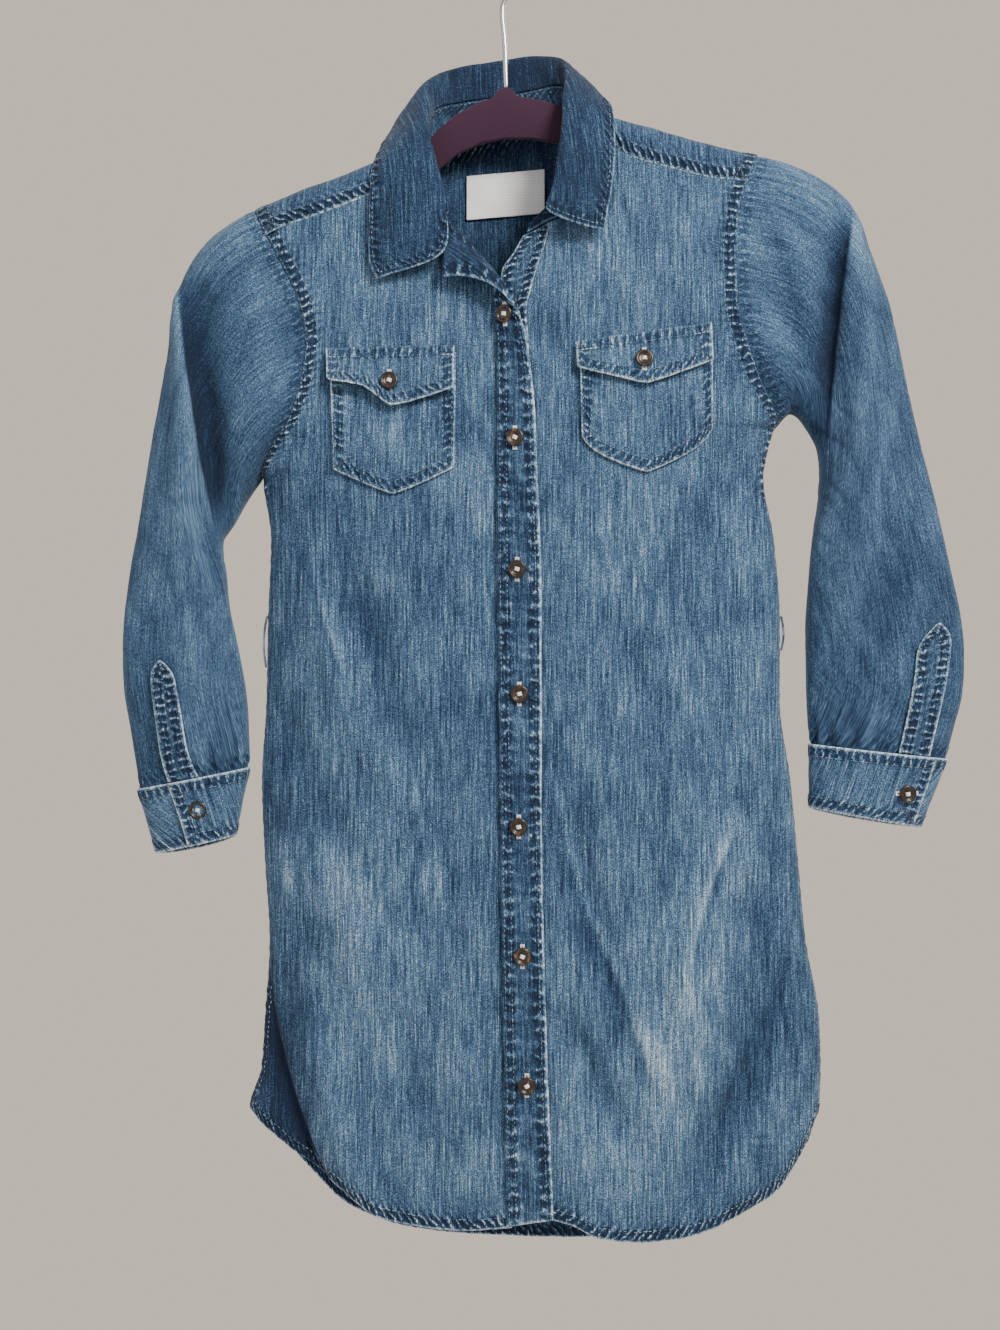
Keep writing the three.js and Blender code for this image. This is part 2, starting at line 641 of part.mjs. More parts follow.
// A closed wall between an outer and an inner skin. wrap joins the last column to the first.
function wallFromSkins(columns, rows, outer, inner, wrap) {
  const points = [];
  const faces = [];
  const lastColumn = wrap ? columns : columns - 1;
  for (const skin of [outer, inner]) {
    for (let j = 0; j < rows; j += 1) {
      for (let i = 0; i < columns; i += 1) {
        points.push(skin(i, j));
      }
    }
  }
  const at = (layer, i, j) => layer * columns * rows + j * columns + (i % columns);
  const quad = (a, b, c, d) => faces.push([a, b, c], [a, c, d]);
  for (let j = 0; j < rows - 1; j += 1) {
    for (let i = 0; i < lastColumn; i += 1) {
      quad(at(0, i, j), at(0, i, j + 1), at(0, i + 1, j + 1), at(0, i + 1, j));
      quad(at(1, i, j), at(1, i + 1, j), at(1, i + 1, j + 1), at(1, i, j + 1));
    }
  }
  for (let i = 0; i < lastColumn; i += 1) {
    quad(at(0, i, 0), at(0, i + 1, 0), at(1, i + 1, 0), at(1, i, 0));
    quad(at(0, i, rows - 1), at(1, i, rows - 1), at(1, i + 1, rows - 1), at(0, i + 1, rows - 1));
  }
  if (!wrap) {
    for (let j = 0; j < rows - 1; j += 1) {
      quad(at(0, 0, j), at(1, 0, j), at(1, 0, j + 1), at(0, 0, j + 1));
      quad(at(0, columns - 1, j), at(0, columns - 1, j + 1), at(1, columns - 1, j + 1), at(1, columns - 1, j));
    }
  }
  return closedGeometry(points, faces);
}

// Faces turned outward, whichever way the skins were wound.
function closedGeometry(points, faces) {
  let volume = 0;
  const cross = new THREE.Vector3();
  for (const [a, b, c] of faces) {
    volume += points[a].dot(cross.crossVectors(points[b], points[c]));
  }
  const positions = [];
  points.forEach((p) => positions.push(p.x, p.y, p.z));
  const index = faces.flatMap(([a, b, c]) => (volume > 0 ? [a, b, c] : [a, c, b]));
  const geometry = new THREE.BufferGeometry();
  geometry.setAttribute("position", new THREE.Float32BufferAttribute(positions, 3));
  geometry.setIndex(index);
  geometry.computeVertexNormals();
  return geometry;
}

// A wall of even thickness about a grid of middle points.
function wallAbout(grid, thickness) {
  const rows = grid.length;
  const columns = grid[0].length;
  const normal = (i, j) => {
    const right = grid[j][Math.min(i + 1, columns - 1)].clone().sub(grid[j][Math.max(i - 1, 0)]);
    const down = grid[Math.min(j + 1, rows - 1)][i].clone().sub(grid[Math.max(j - 1, 0)][i]);
    return right.cross(down).normalize();
  };
  const skin = (sign) => (i, j) => grid[j][i].clone().addScaledVector(normal(i, j), (sign * thickness) / 2);
  return wallFromSkins(columns, rows, skin(1), skin(-1), false);
}

// Rows of the body. The armhole is cut at the same heights as the sleeve's own turns, counted from
// the shoulder point, so that seams meet vertex to vertex; below the underarm the rows are even.
const sleeveTurns = 28;
const yokeTurns = { front: 3, back: 6 };
const rowsBelowArm = 15;
const frontColumns = 13;
const backColumns = 21;
const sideHem = { right: -777.5, left: -779.5 };

const lowSide = (z) => follow(bodySections, "z", "low", z);
const highSide = (z) => follow(bodySections, "z", "high", z);

function armholeZ(hand, turns) {
  const rings = hand < 0 ? sleeveRingsRight : sleeveRingsLeft;
  return mix(rings[0].outZ, rings[0].inZ, (1 - Math.cos((turns / sleeveTurns) * Math.PI * 2)) / 2);
}

// Heights down the side of a panel, from the yoke's corner to the hem.
function sideHeights(hand, firstTurn) {
  const heights = [];
  for (let turn = firstTurn; turn <= sleeveTurns / 2; turn += 1) {
    heights.push(armholeZ(hand, turn));
  }
  const underarm = heights[heights.length - 1];
  const hem = hand < 0 ? sideHem.right : sideHem.left;
  for (let row = 1; row <= rowsBelowArm; row += 1) {
    heights.push(mix(underarm, hem, row / rowsBelowArm));
  }
  return heights;
}

function centreEdge(key, z) {
  return follow(centreSeams, "z", key, z);
}

function rightFrontEdge(z) {
  return centreEdge("seam", z) + 3 * smooth((-255 - z) / 30);
}

function leftFrontEdge(z) {
  return centreEdge("underSeam", z) + seamGap;
}

// Fronts. Columns run from the side to the centre edge, rows from the top edge to the hem.
function frontSpots(hand, topRows, hemRows, sideX, edge) {
  const heights = sideHeights(hand, yokeTurns.front);
  const first = heights[0];
  const last = heights[heights.length - 1];
  const share = (u) => 0.55 * u + 0.45 * (1 - Math.cos((u * Math.PI) / 2));
  return heights.map((height) =>
    topRows.map((top, i) => {
      const v = (first - height) / (first - last);
      const u = i / (frontColumns - 1);
      const topShare = clamp((top.x - sideX(top.z)) / (edge(top.z) - sideX(top.z)), 0, 1);
      const lowX = mix(sideX(last), edge(-845), share(u));
      const lowZ = follow(hemRows, "x", "z", lowX);
      const z = i === 0 ? height - seamGap * (1 - v) : mix(top.z - seamGap, lowZ, v);
      const part = i === 0 ? 0 : mix(topShare, share(u), smooth(v / 0.25));
      return { x: mix(sideX(z), edge(z), i === frontColumns - 1 ? 1 : part), z };
    }),
  );
}

function frontPanel(spots) {
  const skin = (inset) => (i, j) => bodyPointAt(-1, spots[j][i].x, spots[j][i].z, inset);
  return wallFromSkins(frontColumns, spots.length, skin(0), skin(clothWall), false);
}

const topRight = yokeEdge.slice(0, 8).concat(necklineRight.slice(1));
const topLeft = yokeEdge.slice(20).reverse().concat(necklineLeft.slice(1));
const rightSpots = frontSpots(-1, topRight, hemRight, lowSide, rightFrontEdge);
const leftSpots = frontSpots(1, topLeft, hemLeft, highSide, leftFrontEdge);
addPiece("front_right", frontPanel(rightSpots), paints.denim);
addPiece("front_left", frontPanel(leftSpots), paints.denim);

// Back panel below the yoke seam.
function backSeamZ(x) {
  const rightEnd = { x: lowSide(armholeZ(-1, yokeTurns.back)), z: armholeZ(-1, yokeTurns.back) };
  const leftEnd = { x: highSide(armholeZ(1, yokeTurns.back)), z: armholeZ(1, yokeTurns.back) };
  return mix(rightEnd.z, leftEnd.z, (x - rightEnd.x) / (leftEnd.x - rightEnd.x));
}

function backPanel() {
  const rightHeights = sideHeights(-1, yokeTurns.back);
  const leftHeights = sideHeights(1, yokeTurns.back);
  const rows = rightHeights.length;
  const skin = (inset) => (i, j) => {
    const u = i / (backColumns - 1);
    const across = 0.55 * (2 * u - 1) - 0.45 * Math.cos(u * Math.PI);
    const even = (heights) => (heights[0] - heights[j]) / (heights[0] - heights[rows - 1]);
    const v = mix(even(rightHeights), even(leftHeights), u);
    const topZ = backSeamZ(bodyMiddle(-240) + across * bodyHalf(-240));
    const lowZ = follow(hemBack, "x", "z", bodyMiddle(-845) + across * bodyHalf(-845));
    const sideZ = u === 0 ? rightHeights[j] : leftHeights[j];
    const z = u === 0 || u === 1 ? sideZ : mix(topZ, lowZ, v);
    return bodyPoint(1, across, z - seamGap * (1 - v), inset);
  };
  return wallFromSkins(backColumns, rows, skin(0), skin(clothWall), false);
}
addPiece("back", backPanel(), paints.denim);

// Yoke: each column climbs the back, crosses the crest and ends on the yoke's upper edge. The climb
// is measured by the square root of the distance to the crest, so the bend gets the most rows.
const yokeRows = yokeTurns.back + yokeTurns.front + 1;

function yokeSpot(across, root) {
  let z = -190;
  for (let k = 0; k < 12; k += 1) {
    z = crestZ(bodyMiddle(z) + across * bodyHalf(z)) - root * root;
  }
  return { side: root < 0 ? -1 : 1, z };
}

function yokeSideSpot(hand, row) {
  const turn = yokeTurns.back - row;
  return { side: turn < 0 ? -1 : 1, z: armholeZ(hand, Math.abs(turn)) };
}

function yokePanel() {
  const lastColumn = yokeEdge.length - 1;
  const skin = (inset) => (i, j) => {
    if (i === 0 || i === lastColumn) {
      const hand = i === 0 ? -1 : 1;
      const corner = yokeSideSpot(hand, j);
      return bodyPoint(corner.side, hand, corner.z, inset);
    }
    const end = yokeEdge[i];
    const endRoot = end.side * Math.sqrt(Math.max(crestZ(end.x) - end.z, 0));
    const lowAcross = -1 + (2 * i) / lastColumn;
    const lowX = bodyMiddle(-240) + lowAcross * bodyHalf(-240);
    const lowRoot = Math.sqrt(crestZ(lowX) - backSeamZ(lowX));
    const t = j / (yokeRows - 1);
    const across = mix(lowAcross, acrossOf(end.x, end.z), smooth(t));
    const spot = yokeSpot(across, mix(lowRoot, endRoot, t));
    return bodyPoint(spot.side, across, spot.z, inset);
  };
  return wallFromSkins(yokeEdge.length, yokeRows, skin(0), skin(clothWall), false);
}
addPiece("yoke", yokePanel(), paints.denim);

// Button strip, level with the fronts, below the buttonhole strip.
function underStrip() {
  const columns = 3;
  const edgeHeights = leftSpots.map((row) => row[frontColumns - 1].z);
  const skin = (inset) => (i, j) => {
    const outer = edgeHeights[j];
    const slant = 9 * (1 - smooth(j / 5)) * (1 - i / (columns - 1));
    const z = Math.max(outer, -838) - slant;
    const x = mix(centreEdge("openEdge", z) + seamGap, centreEdge("underSeam", z), i / (columns - 1));
    return bodyPointAt(-1, x, z, inset);
  };
  return wallFromSkins(columns, edgeHeights.length, skin(0), skin(clothWall), false);
}
addPiece("placket_under", underStrip(), paints.denimSeam);

// Buttonhole strip: the turned-out top rows, then the straight run down to the hem.
const stripLift = liftOnPanel + placketWall / 2;
const stripColumns = 6;

function stripRow(row, columns) {
  const seam = bodyPointAt(-1, row.seamX, row.seamZ, -stripLift);
  const free = bodyPointAt(-1, row.freeX, row.freeZ, -stripLift);
  free.y -= row.proud;
  const first = seam.clone().add(new THREE.Vector3(row.rollX, row.rollY * 0.8, 0)).lerp(free, 0.2);
  const second = free.clone().add(new THREE.Vector3(row.rollX, row.rollY, 0)).lerp(seam, 0.25);
  const curve = new THREE.CubicBezierCurve3(seam, first, second, free);
  return Array.from({ length: columns }, (_, i) => curve.getPoint(i / (columns - 1)));
}

function stripGrid(columns) {
  const grid = stripRows.map((row) => stripRow(row, columns));
  for (let j = 1; j <= stripRunRows; j += 1) {
    const z = mix(-340, -842.5, j / stripRunRows);
    const proud = 1.4 * (1 - smooth(j / 3));
    const seam = follow(stripRun, "z", "seam", z);
    const free = follow(stripRun, "z", "free", z);
    grid.push(
      Array.from({ length: columns }, (_, i) => {
        const t = i / (columns - 1);
        const point = bodyPointAt(-1, mix(seam, free, t), z + 4 * t * smooth((j - 14) / 5), -stripLift);
        point.y -= proud * t;
        return point;
      }),
    );
  }
  return grid;
}
addPiece("placket_top", wallAbout(stripGrid(stripColumns), placketWall), paints.denimSeam);

// Sleeves. turn is the angle round the sleeve: 0 on its outer line, 90 in front, 180 on its inner line.
function armholePoint(sleeve, turn, inset) {
  const share = (1 - Math.cos(turn)) / 2;
  const z = mix(sleeve.rings[0].outZ, sleeve.rings[0].inZ, share);
  const side = Math.sin(turn) >= 0 ? -1 : 1;
  const point = bodyPoint(side, sleeve.hand, z, inset);
  point.x = bodyPoint(side, sleeve.hand, z, 0).x + sleeve.hand * seamGap;
  const underarm = sleeve.rings[0].inZ;
  const nearUnderarm = 1 - Math.sqrt(clamp((z - underarm) / underarmRun, 0, 1));
  point.z += underarmWallRise * inset * nearUnderarm;
  return point;
}

function ringPoint(sleeve, place, turn, inset) {
  const out = new THREE.Vector2(between(sleeve.rings, "outX", place), between(sleeve.rings, "outZ", place));
  const inner = new THREE.Vector2(between(sleeve.rings, "inX", place), between(sleeve.rings, "inZ", place));
  const chord = inner.clone().sub(out);
  const shorten = inset / chord.length();
  const share = mix(shorten, 1 - shorten, (1 - Math.cos(turn)) / 2);
  const spot = out.clone().addScaledVector(chord, share);
  const sine = Math.sin(turn);
  const front = sine >= 0;
  const plump = Math.abs(sine) ** 0.8;
  const folds = foldHeight(front ? sleeve.folds : sleeve.backFolds, spot.x, spot.y) * plump;
  const depth = (between(sleeve.rings, "depth", place) - inset) * plump + folds;
  return new THREE.Vector3(spot.x, front ? -depth : depth, spot.y);
}

// Pleats round the inner half of the sleeve's end, where it is gathered into the cuff.
function gatherShrink(sleeve, place, turn) {
  const nearCuff = smooth((place - (sleeve.rings.length - 2.1)) / 1.1);
  const innerHalf = smooth((0.15 - Math.cos(turn)) / 0.5);
  return gatherDepth * nearCuff * innerHalf * (0.5 - 0.5 * Math.cos((sleeveTurns / 2) * turn));
}

function sleevePoint(sleeve, place, turn, inset) {
  const pleat = gatherShrink(sleeve, place, turn);
  const point = ringPoint(sleeve, place, turn, inset + pleat);
  const leave = 1 - smooth(place / 4);
  if (leave > 0) {
    const start = ringPoint(sleeve, 0, turn, inset);
    point.addScaledVector(armholePoint(sleeve, turn, inset).sub(start), leave);
  }
  return point;
}

function sleeveSolid(sleeve) {
  const rows = sleeve.rings.length;
  const skin = (inset) => (i, j) => sleevePoint(sleeve, j, (i / sleeveTurns) * Math.PI * 2, inset);
  return wallFromSkins(sleeveTurns, rows, skin(0), skin(clothWall), true);
}

const plainBackFolds = (folds) => folds.map((fold) => ({ ...fold, depth: fold.depth * 0.4 }));
const sleeveRight = {
  hand: -1,
  rings: sleeveRingsRight,
  folds: sleeveFoldsRight,
  backFolds: plainBackFolds(sleeveFoldsRight),
};
const sleeveLeft = {
  hand: 1,
  rings: sleeveRingsLeft,
  folds: sleeveFoldsLeft,
  backFolds: plainBackFolds(sleeveFoldsLeft),
};
addPiece("sleeve_right", sleeveSolid(sleeveRight), paints.denim);
addPiece("sleeve_left", sleeveSolid(sleeveLeft), paints.denim);

function towerSolid(sleeve, rows) {
  const columns = 4;
  const steps = 8;
  const skin = (inset) => (i, j) => {
    const place = (j / (steps - 1)) * (rows.length - 1);
    const share = mix(between(rows, "near", place), between(rows, "far", place), i / (columns - 1));
    const turn = Math.acos(1 - 2 * share);
    const point = sleevePoint(sleeve, between(rows, "ring", place), turn, 0);
    point.y += inset;
    return point;
  };
  return wallFromSkins(columns, steps, skin(-liftOnPanel - clothWall), skin(-liftOnPanel), false);
}
addPiece("sleeve_placket_right", towerSolid(sleeveRight, towerRight), paints.denimSeam);
addPiece("sleeve_placket_left", towerSolid(sleeveLeft, towerLeft), paints.denimSeam);

// Cuffs: a band wound a little more than once round, its free end outside the other.
const cuffColumns = 30;
const cuffRows = 4;

function cuffPoint(cuff, degrees, down, outset) {
  const turn = (degrees * Math.PI) / 180;
  const corner = (key) => mix(cuff.top[key], cuff.bottom[key], down);
  const out = new THREE.Vector2(corner("outX"), corner("outZ"));
  const inner = new THREE.Vector2(corner("inX"), corner("inZ"));
  const chord = inner.sub(out);
  const stretch = outset / chord.length();
  const spot = out.addScaledVector(chord, mix(-stretch, 1 + stretch, (1 - Math.cos(turn)) / 2));
  const plump = Math.sign(Math.sin(turn)) * Math.abs(Math.sin(turn)) ** 0.8;
  const hang = cuff.backDrop * down * Math.max(-Math.sin(turn), 0);
  return new THREE.Vector3(spot.x, -(cuff.depth + outset) * plump, spot.y - hang);
}

function cuffOutset(past) {
  const overlapLift = clothWall + 0.8;
  return overlapLift * (1 - smooth((past - cuffUnderlap - 20) / 70));
}

function cuffSolid(cuff) {
  const skin = (thickness) => (i, j) => {
    const down = j / (cuffRows - 1);
    const past = (i / (cuffColumns - 1)) * (360 + cuffUnderlap);
    const degrees = mix(cuff.openTop, cuff.openBottom, down) + past;
    return cuffPoint(cuff, degrees, down, cuffOutset(past) + thickness);
  };
  return wallFromSkins(cuffColumns, cuffRows, skin(clothWall), skin(0), false);
}
addPiece("cuff_right", cuffSolid(cuffRight), paints.denim);
addPiece("cuff_left", cuffSolid(cuffLeft), paints.denim);

// Patches that lie on the fronts: pockets and their flaps.
function patchSpot(patch, u, v) {
  const topX = mix(patch.topOut.x, patch.topIn.x, u);
  const lowX = mix(patch.lowOut.x, patch.lowIn.x, u);
  const topZ = mix(patch.topOut.z, patch.topIn.z, u);
  const point = patch.point * (1 - Math.abs(2 * u - 1) ** 1.15);
  const lowZ = mix(patch.lowOut.z, patch.lowIn.z, u) - point;
  return { x: mix(topX, lowX, v), z: mix(topZ, lowZ, v) };
}

function patchSolid(patch, columns, rows, lift, wall) {
  const skin = (out) => (i, j) => {
    const u = i / (columns - 1);
    const v = j / (rows - 1);
    const spot = patchSpot(patch, u, v);
    const curl = (patch.curl || 0) * v * v;
    return bodyPointAt(-1, spot.x, spot.z, -lift - out - curl);
  };
  return wallFromSkins(columns, rows, skin(wall), skin(0), false);
}

const flapLift = liftOnPanel + clothWall + 0.6;
addPiece("pocket_right", patchSolid(pocketRight, 9, 7, liftOnPanel, clothWall), paints.denim);
addPiece("pocket_left", patchSolid(pocketLeft, 9, 7, liftOnPanel, clothWall), paints.denim);
addPiece("pocket_flap_right", patchSolid(flapRight, 9, 5, flapLift, clothWall), paints.denimSeam);
addPiece("pocket_flap_left", patchSolid(flapLeft, 9, 5, flapLift, clothWall), paints.denimSeam);

// Collar stand and fall, each a wall about the surface through its stations.
const collarColumns = 31;

function standGrid() {
  const rows = 4;
  const footGap = 1.9;
  const ends = standStations.map((station) => {
    const foot = bodyPointAt(station.side, station.footX, station.footZ, clothWall / 2);
    const top = new THREE.Vector3(station.topX, station.topY, station.topZ);
    const rise = top.clone().sub(foot).normalize();
    return { foot: foot.addScaledVector(rise, footGap), top };
  });
  const foots = new THREE.CatmullRomCurve3(ends.map((end) => end.foot));
  const tops = new THREE.CatmullRomCurve3(ends.map((end) => end.top));
  return Array.from({ length: rows }, (_, j) =>
    Array.from({ length: collarColumns }, (_, i) => {
      const place = i / (collarColumns - 1);
      return foots.getPoint(place).lerp(tops.getPoint(place), j / (rows - 1));
    }),
  );
}

function fallGrid() {
  const rows = 10;
  const lines = [fallSeams, fallRolls, fallMiddles, fallEdges].map(
    (stations) => new THREE.CatmullRomCurve3(stations.map((p) => new THREE.Vector3(p.x, p.y, p.z))),
  );
  return Array.from({ length: rows }, (_, j) =>
    Array.from({ length: collarColumns }, (_, i) => {
      const across = lines.map((line) => line.getPoint(i / (collarColumns - 1)));
      return new THREE.CatmullRomCurve3(across, false, "centripetal").getPoint(j / (rows - 1));
    }),
  );
}
addPiece("collar_stand", wallAbout(standGrid(), clothWall), paints.denimSeam);
addPiece("collar_fall", wallAbout(fallGrid(), clothWall), paints.denim);

// Bare woven label inside the back of the neck.
function labelSolid() {
  const columns = 6;
  const rows = 4;
  const centreX = 0.5;
  const centreZ = -170;
  const tilt = 0.09;
  const skin = (depth) => (i, j) => {
    const across = (i / (columns - 1) - 0.5) * labelWidth;
    const up = (0.5 - j / (rows - 1)) * labelHeight;
    const point = bodyPointAt(1, centreX + across, centreZ + up + tilt * across, clothWall);
    point.y -= depth;
    return point;
  };
  return wallFromSkins(columns, rows, skin(labelLift), skin(labelLift + 1), false);
}
addPiece("neck_label", labelSolid(), paints.label);

// Sewn buttons: a dished disc with a raised rim, its back towards the cloth.
function buttonGeometry() {
  const radius = buttonSize.diameter / 2;
  const height = buttonSize.thickness;
  const profile = [
    new THREE.Vector2(0, 0),
    new THREE.Vector2(radius * 0.8, 0),
    new THREE.Vector2(radius, height * 0.5),
    new THREE.Vector2(radius * 0.93, height),
    new THREE.Vector2(radius * 0.72, height),
    new THREE.Vector2(radius * 0.5, height - buttonSize.rim),
    new THREE.Vector2(0, height - buttonSize.rim),
  ];
  return new THREE.LatheGeometry(profile, 12);
}

function placeButton(name, spot, outward) {
  const button = addPiece(name, buttonGeometry(), paints.button);
  button.quaternion.setFromUnitVectors(new THREE.Vector3(0, 1, 0), outward);
  button.position.copy(spot).addScaledVector(outward, 0.6);
}

// Point and outward direction on a surface given by two parameters.
function facing(surface, a, b, step) {
  const spot = surface(a, b);
  const alongA = surface(a + step, b).sub(surface(a - step, b));
  const alongB = surface(a, b + step).sub(surface(a, b - step));
  const outward = alongA.cross(alongB).normalize();
  return { spot, outward: outward.y > 0 ? outward.negate() : outward };
}

// The strip's outer face nearest to a point seen from the front.
function stripFace(x, z) {
  const grid = stripGrid(13);
  let best = { away: Infinity };
  for (let j = 1; j < grid.length - 1; j += 1) {
    for (let i = 1; i < 12; i += 1) {
      const point = grid[j][i];
      const away = Math.hypot(point.x - x, (point.z - z) / 3);
      if (away < best.away) {
        const right = grid[j][i + 1].clone().sub(grid[j][i - 1]);
        const down = grid[j + 1][i].clone().sub(grid[j - 1][i]);
        best = { away, point, outward: down.cross(right).normalize() };
      }
    }
  }
  return best;
}

frontButtons.forEach((at, k) => {
  const face = stripFace(at.x, at.z);
  const outward = face.outward.y > 0 ? face.outward.negate() : face.outward;
  const drift = new THREE.Vector3(at.x, 0, at.z).sub(new THREE.Vector3(face.point.x, 0, face.point.z));
  drift.y = -(drift.x * outward.x + drift.z * outward.z) / outward.y;
  const spot = face.point.clone().add(drift).addScaledVector(outward, placketWall / 2);
  placeButton("button_front_" + (k + 1), spot, outward);
});

for (const [name, flap] of [["right", flapRight], ["left", flapLeft]]) {
  const face = facing((x, z) => bodyPointAt(-1, x, z, 0), flap.button.x, flap.button.z, 4);
  const spot = bodyPointAt(-1, flap.button.x, flap.button.z, -flapLift - clothWall - flap.curl * 0.5);
  placeButton("button_pocket_" + name, spot, face.outward);
}

for (const [name, cuff] of [["right", cuffRight], ["left", cuffLeft]]) {
  const surface = (turn, down) => cuffPoint(cuff, turn, down / 40, cuffOutset(0) + clothWall);
  const face = facing(surface, cuff.button.turn, cuff.button.down * 40, 2);
  placeButton("button_cuff_" + name, face.spot, face.outward);
}

// Thread loops at the side seams, bowed out from the cloth.
function beltLoop(name, side, topZ, bottomZ) {
  const edge = side < 0 ? lowSide : highSide;
  const stand = 1.3;
  const path = new THREE.CatmullRomCurve3(
    [0, 0.25, 0.5, 0.75, 1].map((t) => {
      const z = mix(topZ, bottomZ, t);
      return new THREE.Vector3(edge(z) + side * (stand + 1.6 * Math.sin(Math.PI * t)), 0, z);
    }),
  );
  const section = new THREE.Shape(new THREE.EllipseCurve(0, 0, 0.8, 0.8).getPoints(6).slice(0, 6));
  const geometry = new THREE.ExtrudeGeometry(section, { steps: 8, extrudePath: path });
  addPiece(name, geometry, paints.denimSeam);
}
beltLoop("belt_loop_right", -1, -454, -487);
beltLoop("belt_loop_left", 1, -454, -476);

// Hanger: a flat flocked arch that follows the shoulders, and its wire hook.
function hangerBody() {
  const outline = hangerUpper.concat(hangerLower).map((p) => new THREE.Vector2(p.x, p.z));
  const geometry = new THREE.ExtrudeGeometry(new THREE.Shape(outline), {
    depth: hangerThickness,
    bevelEnabled: false,
  });
  geometry.translate(0, 0, -hangerThickness / 2);
  geometry.rotateX(Math.PI / 2);
  return geometry;
}
addPiece("hanger_body", hangerBody(), paints.velvet);

function hangerHook() {
  const radius = hookInnerRadius + wireDiameter / 2;
  const points = [
    new THREE.Vector3(0.7, 0, -104.2),
    new THREE.Vector3(-0.2, 0, -76),
    new THREE.Vector3(-1.3, 0, -50),
    new THREE.Vector3(4, 0, -42.5),
    new THREE.Vector3(11.5, 0, -37),
  ];
  for (let degrees = -35; degrees <= 210; degrees += 24.5) {
    const angle = (degrees * Math.PI) / 180;
    points.push(
      new THREE.Vector3(radius * Math.cos(angle), 0, radius * Math.sin(angle) - hookInnerRadius),
    );
  }
  const wire = new THREE.Shape(new THREE.EllipseCurve(0, 0, wireDiameter / 2, wireDiameter / 2).getPoints(8).slice(0, 8));
  const path = new THREE.CatmullRomCurve3(points, false, "centripetal");
  return new THREE.ExtrudeGeometry(wire, { steps: 44, extrudePath: path });
}
addPiece("hanger_hook", hangerHook(), paints.chrome);

export default dress;
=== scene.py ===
import math

import bpy
import numpy as np
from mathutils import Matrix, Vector


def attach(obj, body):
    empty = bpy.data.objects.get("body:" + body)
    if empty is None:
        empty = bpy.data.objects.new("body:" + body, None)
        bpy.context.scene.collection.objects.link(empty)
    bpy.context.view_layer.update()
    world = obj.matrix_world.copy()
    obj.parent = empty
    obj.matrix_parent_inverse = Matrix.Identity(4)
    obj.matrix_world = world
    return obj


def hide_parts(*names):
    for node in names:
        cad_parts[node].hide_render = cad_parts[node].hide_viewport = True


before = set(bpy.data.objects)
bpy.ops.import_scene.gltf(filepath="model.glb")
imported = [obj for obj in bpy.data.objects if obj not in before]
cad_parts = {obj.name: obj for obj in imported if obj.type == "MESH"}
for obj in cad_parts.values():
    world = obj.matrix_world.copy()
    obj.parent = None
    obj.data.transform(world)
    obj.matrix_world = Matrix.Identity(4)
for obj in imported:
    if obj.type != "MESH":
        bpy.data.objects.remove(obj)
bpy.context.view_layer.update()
print("frame loaded")

# A washed denim shirt dress on a flocked hanger. Shapes are worked out in millimetres and turned to
# metres when a mesh is made. +X is the viewer's right, -Y the front, +Z up.
mm = 0.001

scene = bpy.context.scene
for kept in ("Cube", "Light", "Camera"):
    if kept in bpy.data.objects:
        bpy.data.objects.remove(bpy.data.objects[kept])

studio = {
    "cameraPlace": (-0.0033, -1.15, -0.4858),
    "frameHeight": 0.878,
    "paper": "#dccfc2",
    "paperStrength": 1.04,
    "keyPlace": (1.05, -1.4, 0.75),
    "keySize": 0.7,
    "keyPower": 62,
    "fillPlace": (-1.6, -1.3, -0.2),
    "fillPower": 9,
    "rimPlace": (0.6, 1.5, 0.5),
    "rimPower": 16,
    "floorHeight": -1.22,
}

cloth = {
    "wall": 1.4,
    "stripWall": 1.8,
    "gap": 0.4,
    "lift": 0.8,
    "shoulderRound": 14,
    "armholeHold": 0.9,
    "underarmRun": 45,
    "underarmRight": -362,
    "underarmLeft": -331,
    "underarmWallRise": 1.5,
    "cuffUnderlap": 30,
    "gatherDepth": 2.2,
    "gatherPleats": 14,
}


def columns(names, rows):
    return {name: np.array([row[k] for row in rows], float) for k, name in enumerate(names.split())}


bodySections = columns("z low high front back", [
    (-110, -178, 176, 12, 12), (-150, -171, 166, 14, 13), (-187, -164, 153, 18, 15),
    (-218, -149, 150, 20.5, 17), (-250, -134, 151, 22.5, 19), (-276, -129, 157, 24, 20),
    (-300, -132, 165, 26, 21), (-327, -140, 177, 28, 23), (-344, -151, 173, 29, 24),
    (-362, -159, 170, 30, 24), (-403, -154, 177, 32, 25), (-456, -156, 181, 33, 26),
    (-509, -157, 181, 35, 27), (-562, -160, 188, 37, 28), (-615, -158, 193, 38, 29),
    (-667, -155, 198, 40, 30), (-720, -158, 207, 41, 31), (-750, -160, 208, 41, 31),
    (-778, -168, 207, 41, 31), (-890, -168, 205, 41, 31),
])
shoulderLine = columns("x z", [
    (-190, -200), (-164, -187), (-135, -173.5), (-109, -164), (-82, -153), (-62, -146.5),
    (-40, -136), (-5, -126), (28, -117), (53, -119.5), (71, -124.8), (96, -132),
    (129, -141.3), (166, -150.5), (190, -157),
])
yokeEdge = columns("x z side", [
    (-155, -206, -1), (-145, -201, -1), (-130, -196, -1), (-116, -191, -1), (-102, -185.5, -1),
    (-89, -180, -1), (-77, -174.5, -1), (-67, -170, -1), (-65, -157, -1), (-62, -146.5, 0),
    (-56, -147.5, 1), (-44, -144, 1), (-28, -138.5, 1), (-8, -131.5, 1), (10, -126.5, 1),
    (26, -123, 1), (39, -121.2, 1), (48, -120.8, 1), (53, -119.5, 0), (58, -130, -1),
    (62, -143, -1), (72, -148, -1), (85, -155, -1), (105, -161, -1), (128, -167, -1),
    (142, -169, -1), (156, -170, -1),
])
necklineRight = columns("x z", [
    (-67, -170), (-63.5, -178), (-59, -184.5), (-53, -190.5), (-46, -195), (-38, -198),
])
